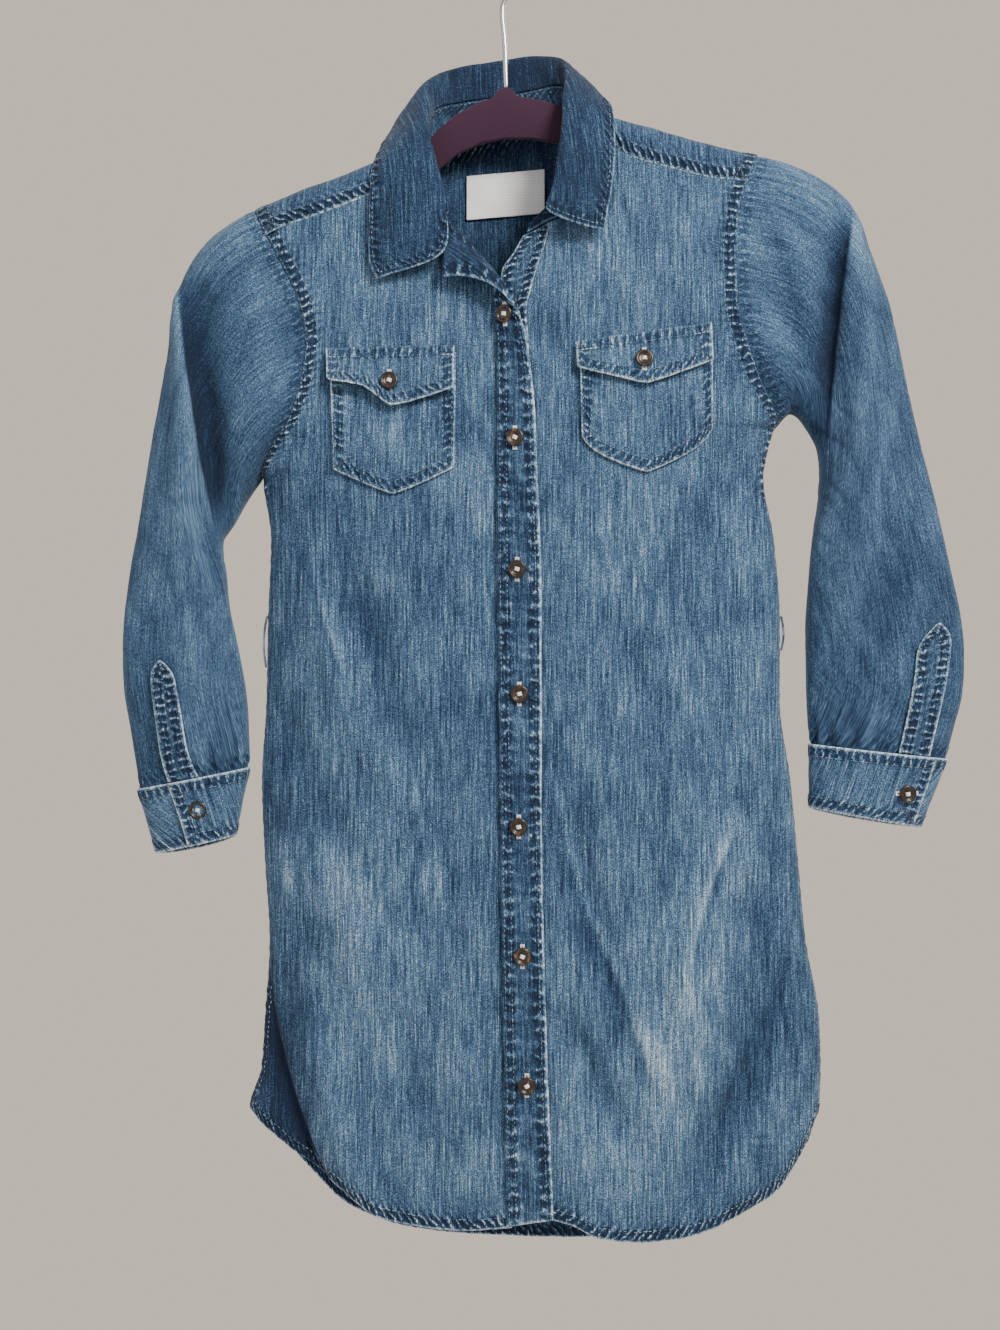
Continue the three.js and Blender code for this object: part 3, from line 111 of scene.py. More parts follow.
necklineLeft = columns("x z", [
    (62, -143), (62.5, -152), (61, -163), (57, -174), (51, -184), (42, -192), (29.5, -198),
])
centreSeams = columns("z seam underSeam openEdge", [
    (-198, -37.7, 29.1, 17), (-208, -27.9, 27, 11), (-218, -18.2, 24.2, 5.5),
    (-230, -10.4, 20, -2.2), (-242, -7.2, 16.6, -3.4), (-256, -6.5, 13.6, -2.6),
    (-274, -5.2, 14.8, -1.6), (-316, -5.2, 17.2, -1.6), (-444, -4.6, 20.8, -1),
    (-572, -3.3, 21, 0.3), (-700, -1.4, 23.4, 2.2), (-860, 1.4, 28.4, 5),
])
stripRows = columns("seamX seamZ freeX freeZ rollX rollY proud", [
    (-37.7, -198.4, -40, -236.5, 0, -5, 9), (-28.6, -207.2, -28.5, -236, 2, -6, 10),
    (-19.6, -217, -17.6, -238.4, 4, -7, 11), (-12, -228, -9.4, -242, 7, -8, 12),
    (-8.2, -240, -1.2, -248, 8, -7, 11), (-6.8, -252.4, 5.7, -255.8, 6, -5, 9),
    (-6, -263, 10.4, -264.5, 3, -3, 6.5), (-5.4, -276, 13.8, -276.5, 0, -1.5, 4.5),
    (-5.2, -296, 16.4, -296, 0, 0, 3), (-5.2, -316, 18.5, -316, 0, 0, 2),
    (-5.1, -340, 19.6, -340, 0, 0, 1.4),
])
stripRun = columns("z seam free", [
    (-340, -5.1, 19.6), (-444, -4.6, 23), (-572, -3.3, 23), (-700, -1.4, 25.4), (-860, 1.4, 31),
])
hemRight = columns("x z", [
    (-168.3, -777.5), (-148, -792), (-123.5, -808.5), (-97, -828), (-82, -837.5),
    (-61.5, -842.6), (-27.6, -846), (8, -843.5),
])
hemLeft = columns("x z", [
    (20, -836), (45, -843.8), (59, -850.8), (87, -854), (114, -852), (136, -846), (157, -836),
    (177, -825), (186, -813), (198.6, -794.5), (207.2, -779.5),
])
hemBack = columns("x z", [
    (-168.3, -777.5), (-152, -797), (-130, -824), (-104, -849), (-70, -864), (-20, -871),
    (40, -873), (95, -869), (140, -856), (172, -834), (194, -808), (207.2, -779.5),
])

# Soft folds, each along a bent line from top to bottom. A negative depth is a trough.
foldNames = "top bottom xTop xMid xBottom width depth"
mainFrontFolds = [
    (-377, -570, -107, -86, -49, 13, -6), (-385, -565, -131, -117, -80, 13, 5),
    (-498, -610, -142, -131, -102, 12, -6), (-600, -712, -131, -99, -66, 18, 6),
    (-676, -850, -149, -139, -98, 11, -13), (-676, -862, -131, -114, -72, 14, 7),
    (-572, -766, 39, 61, 93, 12, -8), (-700, -805, 34, 57, 90, 11, -7),
    (-632, -775, 48, 76, 108, 11, 5), (-580, -775, 155, 123, 125, 18, 8),
    (-672, -825, 184, 158, 125, 13, -7), (-330, -445, 160, 125, 88, 12, -4),
]
smallFrontFolds = [
    (-214, -300, -118, -112, -98, 8, -1.4), (-330, -470, -60, -48, -30, 9, -1.6),
    (-420, -560, 70, 88, 112, 10, -1.8), (-470, -600, 120, 108, 86, 11, 1.8),
    (-360, -440, 150, 138, 118, 7, -2.2), (-372, -452, -148, -128, -104, 7, -2.2),
    (-392, -480, -150, -134, -112, 6, 1.6), (-560, -700, -40, -34, -20, 9, -1.8),
    (-640, -800, -24, -28, -20, 9, 1.8), (-700, -846, -60, -52, -34, 8, -2.4),
    (-610, -740, 150, 142, 150, 8, -2.2), (-560, -690, 176, 170, 160, 8, -2.6),
    (-770, -850, 132, 124, 112, 9, -2.4), (-760, -846, 76, 84, 96, 8, 2),
    (-480, -640, 30, 40, 58, 9, -1.8), (-240, -300, 108, 122, 138, 8, -1.3),
    (-700, -840, 186, 176, 150, 7, 2.4), (-730, -836, -160, -140, -118, 7, 2.6),
]
mainBackFolds = [
    (-300, -620, -70, -84, -96, 17, 6), (-330, -700, -28, -38, -52, 15, -6),
    (-420, -890, 10, 4, -8, 20, 6), (-310, -640, 62, 74, 92, 16, -6),
    (-380, -760, 112, 122, 134, 17, 6), (-640, -880, -112, -118, -104, 15, -6),
    (-660, -890, 62, 74, 84, 16, -5),
]
smallBackFolds = [
    (-240, -360, -110, -90, -64, 9, -2), (-240, -360, 116, 96, 70, 9, -2),
    (-360, -520, -134, -116, -90, 8, -2.4), (-350, -520, 150, 130, 104, 8, -2.4),
    (-520, -760, 36, 34, 30, 9, -2), (-620, -860, 150, 146, 130, 9, 2.4),
    (-600, -840, -60, -66, -60, 9, 2.2), (-700, -880, 110, 106, 98, 8, -2),
    (-440, -620, -150, -140, -122, 8, 2), (-460, -640, 168, 156, 140, 8, 2),
]
tuckNames = "top bottom xTop xMid xBottom hand rise dip reach shade"
sleeveTucks = {
    "right": columns(tuckNames, [(-228, -412, -215, -203, -188, 1, 1.8, 2.2, 11, 0.3)]),
    "left": columns(tuckNames, [(-186, -362, 227.5, 217, 209.5, -1, 1.8, 2.2, 9, 0.26)]),
}
frontTucks = columns(tuckNames, [
    (-676, -846, -155, -136, -98, -1, 1.6, 2.4, 17, 0.24), (-560, -690, 30, 46, 70, -1, 0.8, 1.0, 9, 0.09),
    (-640, -770, 52, 78, 100, -1, 0.9, 1.2, 11, 0.1), (-400, -520, -128, -116, -92, -1, 0.6, 0.9, 10, 0.08),
    (-590, -700, 150, 126, 118, 1, 0.8, 1.0, 12, 0.1),
])
frontFolds = columns(foldNames, mainFrontFolds + smallFrontFolds)
backFolds = columns(foldNames, mainBackFolds + smallBackFolds)

ringNames = "outX outZ inX inZ depth"
sleeveRingsRight = columns(ringNames, [
    (-164, -187, -159, -362, 18), (-180, -195, -163, -368, 20), (-195, -206, -168, -375, 22),
    (-208, -224, -173, -383, 24), (-217, -245, -178, -391, 24), (-221, -275, -182, -398, 23),
    (-226, -308, -185.5, -405, 22), (-234, -347, -186, -415, 21), (-241, -389, -184, -430, 20),
    (-248, -430, -181.5, -449, 19), (-251.5, -466, -176, -475, 19), (-251, -499, -171, -502, 19),
    (-246, -532, -169, -527, 18), (-241, -567, -169.5, -553, 15),
])
sleeveRingsLeft = columns(ringNames, [
    (165.7, -150.5, 179, -331, 18), (188, -156.5, 185, -324, 20), (209, -166.5, 189, -320.5, 22),
    (226.5, -181.5, 193.5, -322.5, 24), (237, -201.5, 198, -328, 25), (244, -223.5, 202.5, -336, 25),
    (252, -248, 206, -346, 24), (258.5, -272.5, 208, -360.5, 24), (265.5, -303, 207, -380, 23),
    (273, -338.5, 203, -402, 22), (284.5, -383.5, 200.5, -429.5, 21), (293.5, -423, 198.5, -459.5, 21),
    (301.5, -464, 198.5, -487.5, 20), (301.5, -505.5, 200, -514, 19), (290.5, -547.2, 202, -537.6, 16),
])
mainSleeveFoldsRight = [
    (-226, -412, -204, -194, -187, 8, -12), (-226, -470, -214, -211, -214, 10, 4),
    (-215, -330, -180, -168, -160, 10, -4),
]
smallSleeveFoldsRight = [
    (-250, -340, -150, -164, -178, 7, 1.6), (-236, -300, -150, -166, -186, 6, -1.4),
    (-300, -380, -150, -162, -172, 6, -1.8), (-430, -560, -226, -232, -222, 9, -1.8),
    (-440, -556, -196, -204, -198, 9, 1.8), (-470, -566, -186, -182, -190, 7, -2),
    (-330, -430, -232, -236, -240, 6, -1.2),
]
mainSleeveFoldsLeft = [
    (-180, -350, 221, 214, 209, 8, -12), (-190, -440, 236, 233, 228, 11, 5),
    (-190, -300, 178, 188, 193, 10, -4), (-395, -520, 246, 250, 244, 11, -4),
]
smallSleeveFoldsLeft = [
    (-176, -262, 182, 196, 206, 6, 1.6), (-214, -300, 178, 190, 202, 6, -1.8),
    (-260, -330, 180, 186, 196, 6, 1.8), (-380, -520, 216, 222, 228, 9, 1.8),
    (-420, -540, 272, 276, 270, 9, -1.8), (-450, -545, 232, 228, 236, 7, -1.8),
    (-300, -420, 256, 264, 274, 7, -1.4),
]
cuffShapes = {
    "right": {
        "top": (-241, -567.5, -169.5, -553.5), "bottom": (-229, -609, -179.5, -598),
        "depth": 14.2, "openTop": 68, "openBottom": 86, "backDrop": 4, "button": (98, 0.5),
    },
    "left": {
        "top": (290.5, -547.7, 202, -538.1), "bottom": (273, -592, 202, -579.5),
        "depth": 15.2, "openTop": 42, "openBottom": 42, "backDrop": 3, "button": (62, 0.55),
    },
}
towerRows = {
    "right": columns("ring near far", [
        (10.45, 0.345, 0.375), (10.75, 0.275, 0.46), (11.5, 0.265, 0.485), (12.3, 0.265, 0.5),
        (12.96, 0.31, 0.58),
    ]),
    "left": columns("ring near far", [
        (11.76, 0.165, 0.195), (12.05, 0.115, 0.32), (12.6, 0.145, 0.36), (13.2, 0.17, 0.385),
        (13.96, 0.16, 0.39),
    ]),
}
# Corners seen from the front: top outer, top inner, low outer, low inner.
patches = {
    "pocket_right": {"corners": ((-113, -286), (-32, -284), (-109.5, -359.6), (-33, -359)), "point": 16.4},
    "pocket_left": {"corners": ((134, -270), (48.5, -282), (132, -341), (49, -346)), "point": 18,
                    "round": 7},
    "pocket_flap_right": {
        "corners": ((-115, -282), (-33, -280), (-113.5, -300), (-33, -308)), "point": 16, "curl": 4,
        "sway": 4.5, "button": (-74.6, -304),
    },
    "pocket_flap_left": {
        "corners": ((132.7, -265), (46.2, -277.5), (133.6, -289.5), (46.2, -294)), "point": 13, "curl": 2,
        "button": (89.9, -289),
    },
}
frontButtons = [(-0.1, -260), (6.3, -340), (7.6, -424), (8.8, -505.5), (8.8, -588), (11.3, -672), (13.9, -752)]

standStations = columns("footX footZ side topX topY topZ", [
    (-39, -198, -1, -38.5, -27, -197), (-53, -190.5, -1, -43, -26, -187),
    (-63.5, -178, -1, -48, -20, -166), (-65.5, -160, -1, -51, -10, -140),
    (-62, -146.5, 1, -49.5, 6, -121), (-54, -147.4, 1, -44, 22, -111),
    (-38, -142, 1, -27, 33, -104), (-8, -131.5, 1, -5, 37, -99.5), (22, -123.8, 1, 19, 34, -96),
    (42, -121.2, 1, 35, 25, -95.5), (53, -119.5, 1, 42.5, 10, -103), (59, -133, -1, 42, -6, -118),
    (62.3, -148, -1, 41, -14.5, -137), (61, -163, -1, 38.5, -20.5, -157),
    (52, -182.5, -1, 34.5, -24, -178), (39, -193.5, -1, 30, -24, -188),
    (29.5, -198, -1, 25.5, -21, -190.5), (14, -206.5, -1, 15.5, -18.5, -199.5),
])
# Collar fall: its seam on the stand, its roll, its middle and its free edge, station by station.
fallLines = [
    [(-38, -28.5, -196.5), (-41.5, -27, -186.5), (-46.5, -21, -165.5), (-50.5, -11, -138.5),
     (-49, 6, -119.5), (-43.5, 22.5, -109.5), (-26.5, 34, -102.5), (-5, 38, -98), (19.5, 35, -94.5),
     (35.5, 26, -94), (41.5, 11, -101.5), (41, -6, -116.5), (40, -15.5, -135.5), (37.5, -22, -155.5),
     (33.5, -26, -176), (29, -26, -186.5)],
    [(-37, -34, -199), (-39, -31, -186), (-44, -26, -164), (-51, -18, -138), (-52, -4, -119),
     (-52, 15, -98), (-39, 36, -82), (-5, 43, -73), (24, 41, -70), (38, 30, -76), (41.5, 8, -92),
     (38.5, -11, -113), (37.5, -21, -134), (35, -27, -155), (31, -31, -178), (27.5, -33, -194)],
    [(-39.5, -34, -220.5), (-61, -34, -207), (-67, -30, -182), (-74, -22, -156), (-70, -2, -130),
     (-63, 18, -107), (-46, 43, -86), (-6, 51, -75), (28, 48, -73), (48, 35, -86), (57, 13, -98),
     (56, -12, -119), (54, -25, -143), (52, -31, -163), (48, -34, -184), (43.5, -34.5, -202)],
    [(-82.5, -27, -236.8), (-87, -26, -226), (-87.8, -23, -200), (-87, -20, -172), (-84, -4, -150),
     (-76, 19, -134), (-50, 34, -131), (-8, 40, -125), (32, 37, -119), (56, 26, -115), (67.5, 11, -112),
     (70.5, -17, -130), (71, -23, -152), (69.5, -25, -171), (66.5, -28, -189), (63.3, -29, -206)],
]
hangerUpper = [
    (-158, -192), (-135, -178.5), (-109, -168.5), (-82, -158), (-64, -151.4), (-52, -142), (-44, -132.5),
    (-32, -122.5), (-19, -115.8), (-8, -111.4), (-4, -106), (0.7, -104.6), (5, -106.5), (8.5, -111),
    (22, -113), (38, -117.5), (53, -127), (71, -130.6), (96, -136.8), (129, -146), (160, -154.2),
]
hangerLower = [
    (161, -160), (129, -157), (96, -152.5), (71, -149), (36, -142), (18, -138.6), (0, -138.6),
    (-15, -141.3), (-32, -149), (-48, -163), (-66, -172), (-82, -178), (-109, -186.5), (-135, -194),
    (-157, -199.5),
]


def mix(a, b, t):
    return a + (b - a) * t


def smooth(t):
    c = np.clip(t, 0, 1)
    return c * c * (3 - 2 * c)


def follow(table, along, key, at):
    # a smooth curve through a table's column that never overshoots its rows
    xs, ys = table[along], table[key]
    if xs[0] > xs[-1]:
        xs, ys = xs[::-1], ys[::-1]
    at = np.asarray(at, float)
    steps = np.diff(xs)
    slopes = np.diff(ys) / steps
    tangents = np.empty_like(ys)
    tangents[0], tangents[-1] = slopes[0], slopes[-1]
    product = slopes[:-1] * slopes[1:]
    total = np.where(product > 0, slopes[:-1] + slopes[1:], 1)
    tangents[1:-1] = np.where(product > 0, 2 * product / total, 0)
    i = np.clip(np.searchsorted(xs, at, side="right") - 1, 0, len(xs) - 2)
    h = steps[i]
    t = np.clip((at - xs[i]) / h, 0, 1)
    t2, t3 = t * t, t * t * t
    return (
        (2 * t3 - 3 * t2 + 1) * ys[i] + (t3 - 2 * t2 + t) * h * tangents[i]
        + (3 * t2 - 2 * t3) * ys[i + 1] + (t3 - t2) * h * tangents[i + 1]
    )


def between(values, place):
    # a smooth curve through values read by their number; values may be points
    values = np.asarray(values, float)
    place = np.clip(np.asarray(place, float), 0, len(values) - 1)
    i = np.minimum(place.astype(int), len(values) - 2)
    t = place - i
    if values.ndim > 1:
        t = t[..., None]
    a, b = values[np.maximum(i - 1, 0)], values[i]
    c, d = values[i + 1], values[np.minimum(i + 2, len(values) - 1)]
    bend = 2 * b - 2 * c + (c - a) / 2 + (d - b) / 2
    lean = -3 * b + 3 * c - (c - a) - (d - b) / 2
    return ((bend * t + lean) * t + (c - a) / 2) * t + b


def foldHeight(folds, x, z):
    height = np.zeros(np.broadcast(x, z).shape)
    for k in range(len(folds["top"])):
        top, bottom = folds["top"][k], folds["bottom"][k]
        xTop, xMid, xBottom = folds["xTop"][k], folds["xMid"][k], folds["xBottom"][k]
        t = np.clip((top - z) / (top - bottom), 0, 1)
        bend = 2 * (xTop + xBottom - 2 * xMid)
        centre = xTop + t * (xBottom - xTop) + bend * t * (t - 1)
        run = (xBottom - xTop + bend * (2 * t - 1)) / (bottom - top)
        away = (x - centre) / np.sqrt(1 + run * run) / folds["width"][k]
        height = height + folds["depth"][k] * np.exp(-away * away) * np.sin(np.pi * t) ** 0.7
    return height


def tuckFold(tucks, x, z):
    # A crisp fold: a ridge with a dip on one side (hand 1 is towards +X). Gives height and tone: painted shade in the
    # dip, partly kept dye, and a thin paler line along the crest.
    height = np.zeros(np.broadcast(x, z).shape)
    tone = np.zeros(height.shape)
    for k in range(len(tucks["top"])):
        top, bottom = tucks["top"][k], tucks["bottom"][k]
        xTop, xMid, xBottom = tucks["xTop"][k], tucks["xMid"][k], tucks["xBottom"][k]
        t = np.clip((top - z) / (top - bottom), 0, 1)
        centre = xTop + t * (xBottom - xTop) + 2 * (xTop + xBottom - 2 * xMid) * t * (t - 1)
        away = (x - centre) * tucks["hand"][k]
        strong = smooth(t / 0.12) * smooth((1 - t) / 0.3)
        past = smooth((away + 0.6) / 2.4)
        dip = past * np.exp(-np.maximum(away, 0) / tucks["reach"][k])
        crest = np.exp(-(((away + 3) / 5) ** 2))
        height = height + strong * (tucks["rise"][k] * crest - tucks["dip"][k] * dip)
        # painted shade in the dip, partly kept dye, and a thin paler line on the crest
        tone = tone + strong * (0.07 * np.exp(-(((away + 1.6) / 2.2) ** 2)) - tucks["shade"][k] * dip)
    return height, tone


def ripple(x, y, seed, size):
    # smooth, uneven waves of about that size in millimetres, from -1 to 1
    rng = np.random.default_rng(seed)
    total = np.zeros(np.broadcast(x, y).shape)
    for _ in range(7):
        angle, phase = rng.uniform(0, 2 * np.pi, 2)
        length = size * rng.uniform(0.65, 1.6)
        total = total + np.sin((x * np.cos(angle) + y * np.sin(angle)) * 2 * np.pi / length + phase)
    return total / 4.2


def bodyMiddle(z):
    return (follow(bodySections, "z", "high", z) + follow(bodySections, "z", "low", z)) / 2


def bodyHalf(z):
    return (follow(bodySections, "z", "high", z) - follow(bodySections, "z", "low", z)) / 2


def acrossOf(x, z):
    return np.clip((x - bodyMiddle(z)) / bodyHalf(z), -1, 1)


def crestZ(x):
    return follow(shoulderLine, "x", "z", x)


def neckShare(x):
    return smooth((x + 62) / 26) * smooth((53 - x) / 26)


def bodyPoint(side, across, z, inset):
    # side is -1 on the front and 1 on the back; inset moves the point into the wall
    side, across, z = np.broadcast_arrays(np.asarray(side, float), across, z)
    x = bodyMiddle(z) + across * bodyHalf(z)
    underarm = np.where(across < 0, cloth["underarmRight"], cloth["underarmLeft"])
    hold = cloth["armholeHold"] * np.sqrt(np.clip((z - underarm) / cloth["underarmRun"], 0, 1))
    fullness = mix(2.4, 6, smooth((z - underarm + 110) / 190))
    plump = np.sqrt(1 - np.abs(across) ** fullness)
    drop = np.maximum(crestZ(x) - z, 0)
    lean = np.maximum(1 - drop / cloth["shoulderRound"], 0)
    neck = neckShare(x)
    crest = mix(np.sqrt(1 - lean * lean), 1, neck)
    swell = np.where(side > 0, 13 * neck * np.exp(-(((z + 135) / 60) ** 2)), 0)
    bulge = np.where(side > 0, follow(bodySections, "z", "back", z), follow(bodySections, "z", "front", z))
    folds = np.where(side > 0, foldHeight(backFolds, x, z), foldHeight(frontFolds, x, z))
    depth = (bulge + swell - inset) * (hold + (1 - hold) * plump) * crest
    y = side * (cloth["gap"] / 2 + depth + folds * plump)
    inward = inset * across * (1 - hold) * (1 - neck)
    return np.stack([x - inward, y, z - inset * lean * (1 - neck)], -1)


def bodyPointAt(side, x, z, inset):
    return bodyPoint(side, acrossOf(x, z), z, inset)


def unit(v):
    return v / np.maximum(np.linalg.norm(v, axis=-1, keepdims=True), 1e-9)


def gridNormals(points, wrap=False):
    if wrap:
        right = np.roll(points, -1, 1) - np.roll(points, 1, 1)
    else:
        right = np.gradient(points, axis=1)
    down = np.gradient(points, axis=0)
    return unit(np.cross(right, down))


def gridLengths(points):
    # how far along the cloth each point lies, across and down, in millimetres
    across = np.zeros(points.shape[:2])
    down = np.zeros(points.shape[:2])
    across[:, 1:] = np.cumsum(np.linalg.norm(np.diff(points, axis=1), axis=-1), 1)
    down[1:] = np.cumsum(np.linalg.norm(np.diff(points, axis=0), axis=-1), 0)
    return across, down


def curveThrough(points, places):
    # a curve through a row of points, evened by the square root of the chords; places run 0 to 1
    points = np.asarray(points, float)
    first, last = 2 * points[:1] - points[1:2], 2 * points[-1:] - points[-2:-1]
    padded = np.concatenate([first, points, last])
    at = np.clip(np.asarray(places, float), 0, 1) * (len(points) - 1)
    i = np.minimum(at.astype(int), len(points) - 2)
    t = (at - i).reshape((-1,) + (1,) * (points.ndim - 1))
    p0, p1, p2, p3 = (padded[i + k] for k in range(4))
    d0, d1, d2 = (np.sqrt(np.maximum(np.linalg.norm(b - a, axis=-1, keepdims=True), 1e-6))
                  for a, b in ((p0, p1), (p1, p2), (p2, p3)))
    start = ((p1 - p0) / d0 - (p2 - p0) / (d0 + d1) + (p2 - p1) / d1) * d1
    end = ((p2 - p1) / d1 - (p3 - p1) / (d1 + d2) + (p3 - p2) / d2) * d1
    t2, t3 = t * t, t * t * t
    return (2 * t3 - 3 * t2 + 1) * p1 + (t3 - 2 * t2 + t) * start + (3 * t2 - 2 * t3) * p2 + (t3 - t2) * end


def spread(count, length, first=0.8):
    # even steps along a side, with two short ones at each end for a crisp edge
    inner = np.linspace(2 * first, length - 2 * first, count - 4)
    return np.concatenate([[0, first], inner, [length - first, length]]) / length


def seamField(points, edges, wrap=False):
    # distance to the nearest sewn or turned edge and the place along it, from a grid's own lengths
    across, down = gridLengths(points)
    widths, heights = across[:, -1:], down[-1:, :]
    choices = {
        "left": (across, down[:, :1]), "right": (widths - across, down[:, -1:] + 331),
        "top": (down, across[:1] + 127), "bottom": (heights - down, across[-1:] + 613 + 0.8 * (heights - down)),
    }
    distance = np.full(points.shape[:2], 99.0)
    along = np.zeros(points.shape[:2])
    for edge in edges:
        d, s = choices[edge]
        nearer = d < distance
        distance, along = np.where(nearer, d, distance), np.where(nearer, s, along)
    return distance, along


def puckers(distance, along, seed, depth=0.45):
    # the gathered waves that a washed seam draws in the cloth beside it
    rng = np.random.default_rng(seed)
    wave = sum(np.sin(along * 2 * np.pi / length + phase)
               for length, phase in zip((7.6, 9.4, 12.2), rng.uniform(0, 6.28, 3)))
    return depth * wave / 1.8 * np.exp(-(((distance - 4.5) / 4.6) ** 2))


def seamRidge(distance, width=8.0, height=0.5):
    # doubled cloth beside a seam or hem
    return height * (1 - smooth((distance - width + 1.2) / 2.0))


def meshFrom(name, points, faces, material):
    mesh = bpy.data.meshes.new(name)
    mesh.from_pydata((np.asarray(points) * mm).tolist(), [], faces)
    mesh.materials.append(material)
    mesh.shade_smooth()
    piece = bpy.data.objects.new(name, mesh)
    scene.collection.objects.link(piece)
    return piece


def quadsOf(rows, cols, offset, wrap, flip):
    last = cols if wrap else cols - 1
    j, i = np.meshgrid(np.arange(rows - 1), np.arange(last), indexing="ij")
    a = offset + j * cols + i
    b = offset + j * cols + (i + 1) % cols
    c, d = a + cols, b + cols
    quads = np.stack([a, c, d, b] if flip else [a, b, d, c], -1)
    return quads.reshape(-1, 4)


def clothPiece(name, outer, inner, weave, marksAndShade, material, wrap=False):
    # Two skins joined by a rounded rim. weave is (u, v) in mm along weft and warp; the third argument holds the
    # seam distance, the place along it, the kind of seam, the distance to a bright edge and the tone, which carries
    # wash fading and painted shade.
    rows, cols = outer.shape[:2]
    count = rows * cols
    normal = gridNormals(outer, wrap)
    flip = np.sum(normal * (outer - inner)) < 0
    vertices = [outer.reshape(-1, 3), inner.reshape(-1, 3)]
    faces = [quadsOf(rows, cols, 0, wrap, flip), quadsOf(rows, cols, count, wrap, not flip)]
    index = np.arange(count).reshape(rows, cols)
    if wrap:
        loops = [(index[0], index[1]), (index[-1][::-1], index[-2][::-1])]
    else:
        loop = np.concatenate([index[0, :-1], index[:-1, -1], index[-1, :0:-1], index[:0:-1, 0]])
        inward = np.concatenate([index[1, :-1], index[:-1, -2], index[-2, :0:-1], index[:0:-1, 1]])
        loops = [(loop, inward)]
    flat = [outer.reshape(-1, 3), inner.reshape(-1, 3)]
    extra = []
    start = 2 * count
    for loop, inward in loops:
        middle = (flat[0][loop] + flat[1][loop]) / 2
        push = unit(flat[0][loop] - flat[0][inward]) * 0.4
        ring = start + np.arange(len(loop))
        vertices.append(middle + push)
        extra.append(loop)
        nextLoop, nextRing = np.roll(loop, -1), np.roll(ring, -1)
        one = np.stack([loop, ring, nextRing, nextLoop], -1)
        two = np.stack([ring, loop + count, nextLoop + count, nextRing], -1)
        for strip in (one, two):
            faces.append(strip if not flip else strip[:, ::-1])
        start += len(loop)
    quads = np.concatenate(faces)
    vertices = np.concatenate(vertices)
    # the rim's winding follows the outer skin's
    piece = meshFrom(name, vertices, quads.tolist(), material)
    mesh = piece.data
    source = np.concatenate([np.arange(count), np.arange(count)] + extra)
    uv = (np.stack(weave, -1).reshape(-1, 2) * mm)[source]
    layer = mesh.uv_layers.new(name="weave")
    corner = np.empty(len(mesh.loops), np.int32)
    mesh.loops.foreach_get("vertex_index", corner)
    layer.data.foreach_set("uv", uv[corner].ravel())
    distance, along, kind, edge, fadeAndShade = (np.broadcast_to(w, (rows, cols)).reshape(-1)[source] for w in marksAndShade)
    # the inner skin, and the rim in part, are marked for painted shade
    inside = np.concatenate([np.zeros(count), np.ones(count), np.full(len(source) - 2 * count, 0.3)])
    seam = mesh.attributes.new("seam", "FLOAT_VECTOR", "POINT")
    seam.data.foreach_set("vector", np.stack([distance, along, kind], -1).ravel())
    wearAndShade = mesh.attributes.new("wearAndShade", "FLOAT_VECTOR", "POINT")
    wearAndShade.data.foreach_set("vector", np.stack([edge, fadeAndShade, inside], -1).ravel())
    return piece


def addNode(tree, kind, settings=None, inputs=None):
    # one node with its settings; an input is a value or another node's output
    node = tree.nodes.new(kind)
    for key, value in (settings or {}).items():
        setattr(node, key, value)
    for key, value in (inputs or {}).items():
        if isinstance(value, bpy.types.NodeSocket):
            tree.links.new(value, node.inputs[key])
        else:
            node.inputs[key].default_value = value
    return node


def hexColour(text):
    # sRGB hex to the linear colour that sockets take
    parts = [int(text[k:k + 2], 16) / 255 for k in (1, 3, 5)]
    linear = [c / 12.92 if c <= 0.04045 else ((c + 0.055) / 1.055) ** 2.4 for c in parts]
    return (*linear, 1)


def newMaterial(name):
    material = bpy.data.materials.new(name)
    material.use_nodes = True
    tree = material.node_tree
    tree.nodes.clear()
    output = tree.nodes.new("ShaderNodeOutputMaterial")
    shader = tree.nodes.new("ShaderNodeBsdfPrincipled")
    tree.links.new(shader.outputs["BSDF"], output.inputs["Surface"])
    return material, tree, shader


# Denim: indigo warp over a white weft, washed unevenly. Tones run from the deepest indigo to bare weft.
denimTones = ["#0e1c33", "#213a58", "#3f5c7b", "#5d7d9b", "#8ba5bc", "#cbd8e4"]
denimPlaces = [0.0, 0.24, 0.46, 0.64, 0.82, 1.0]


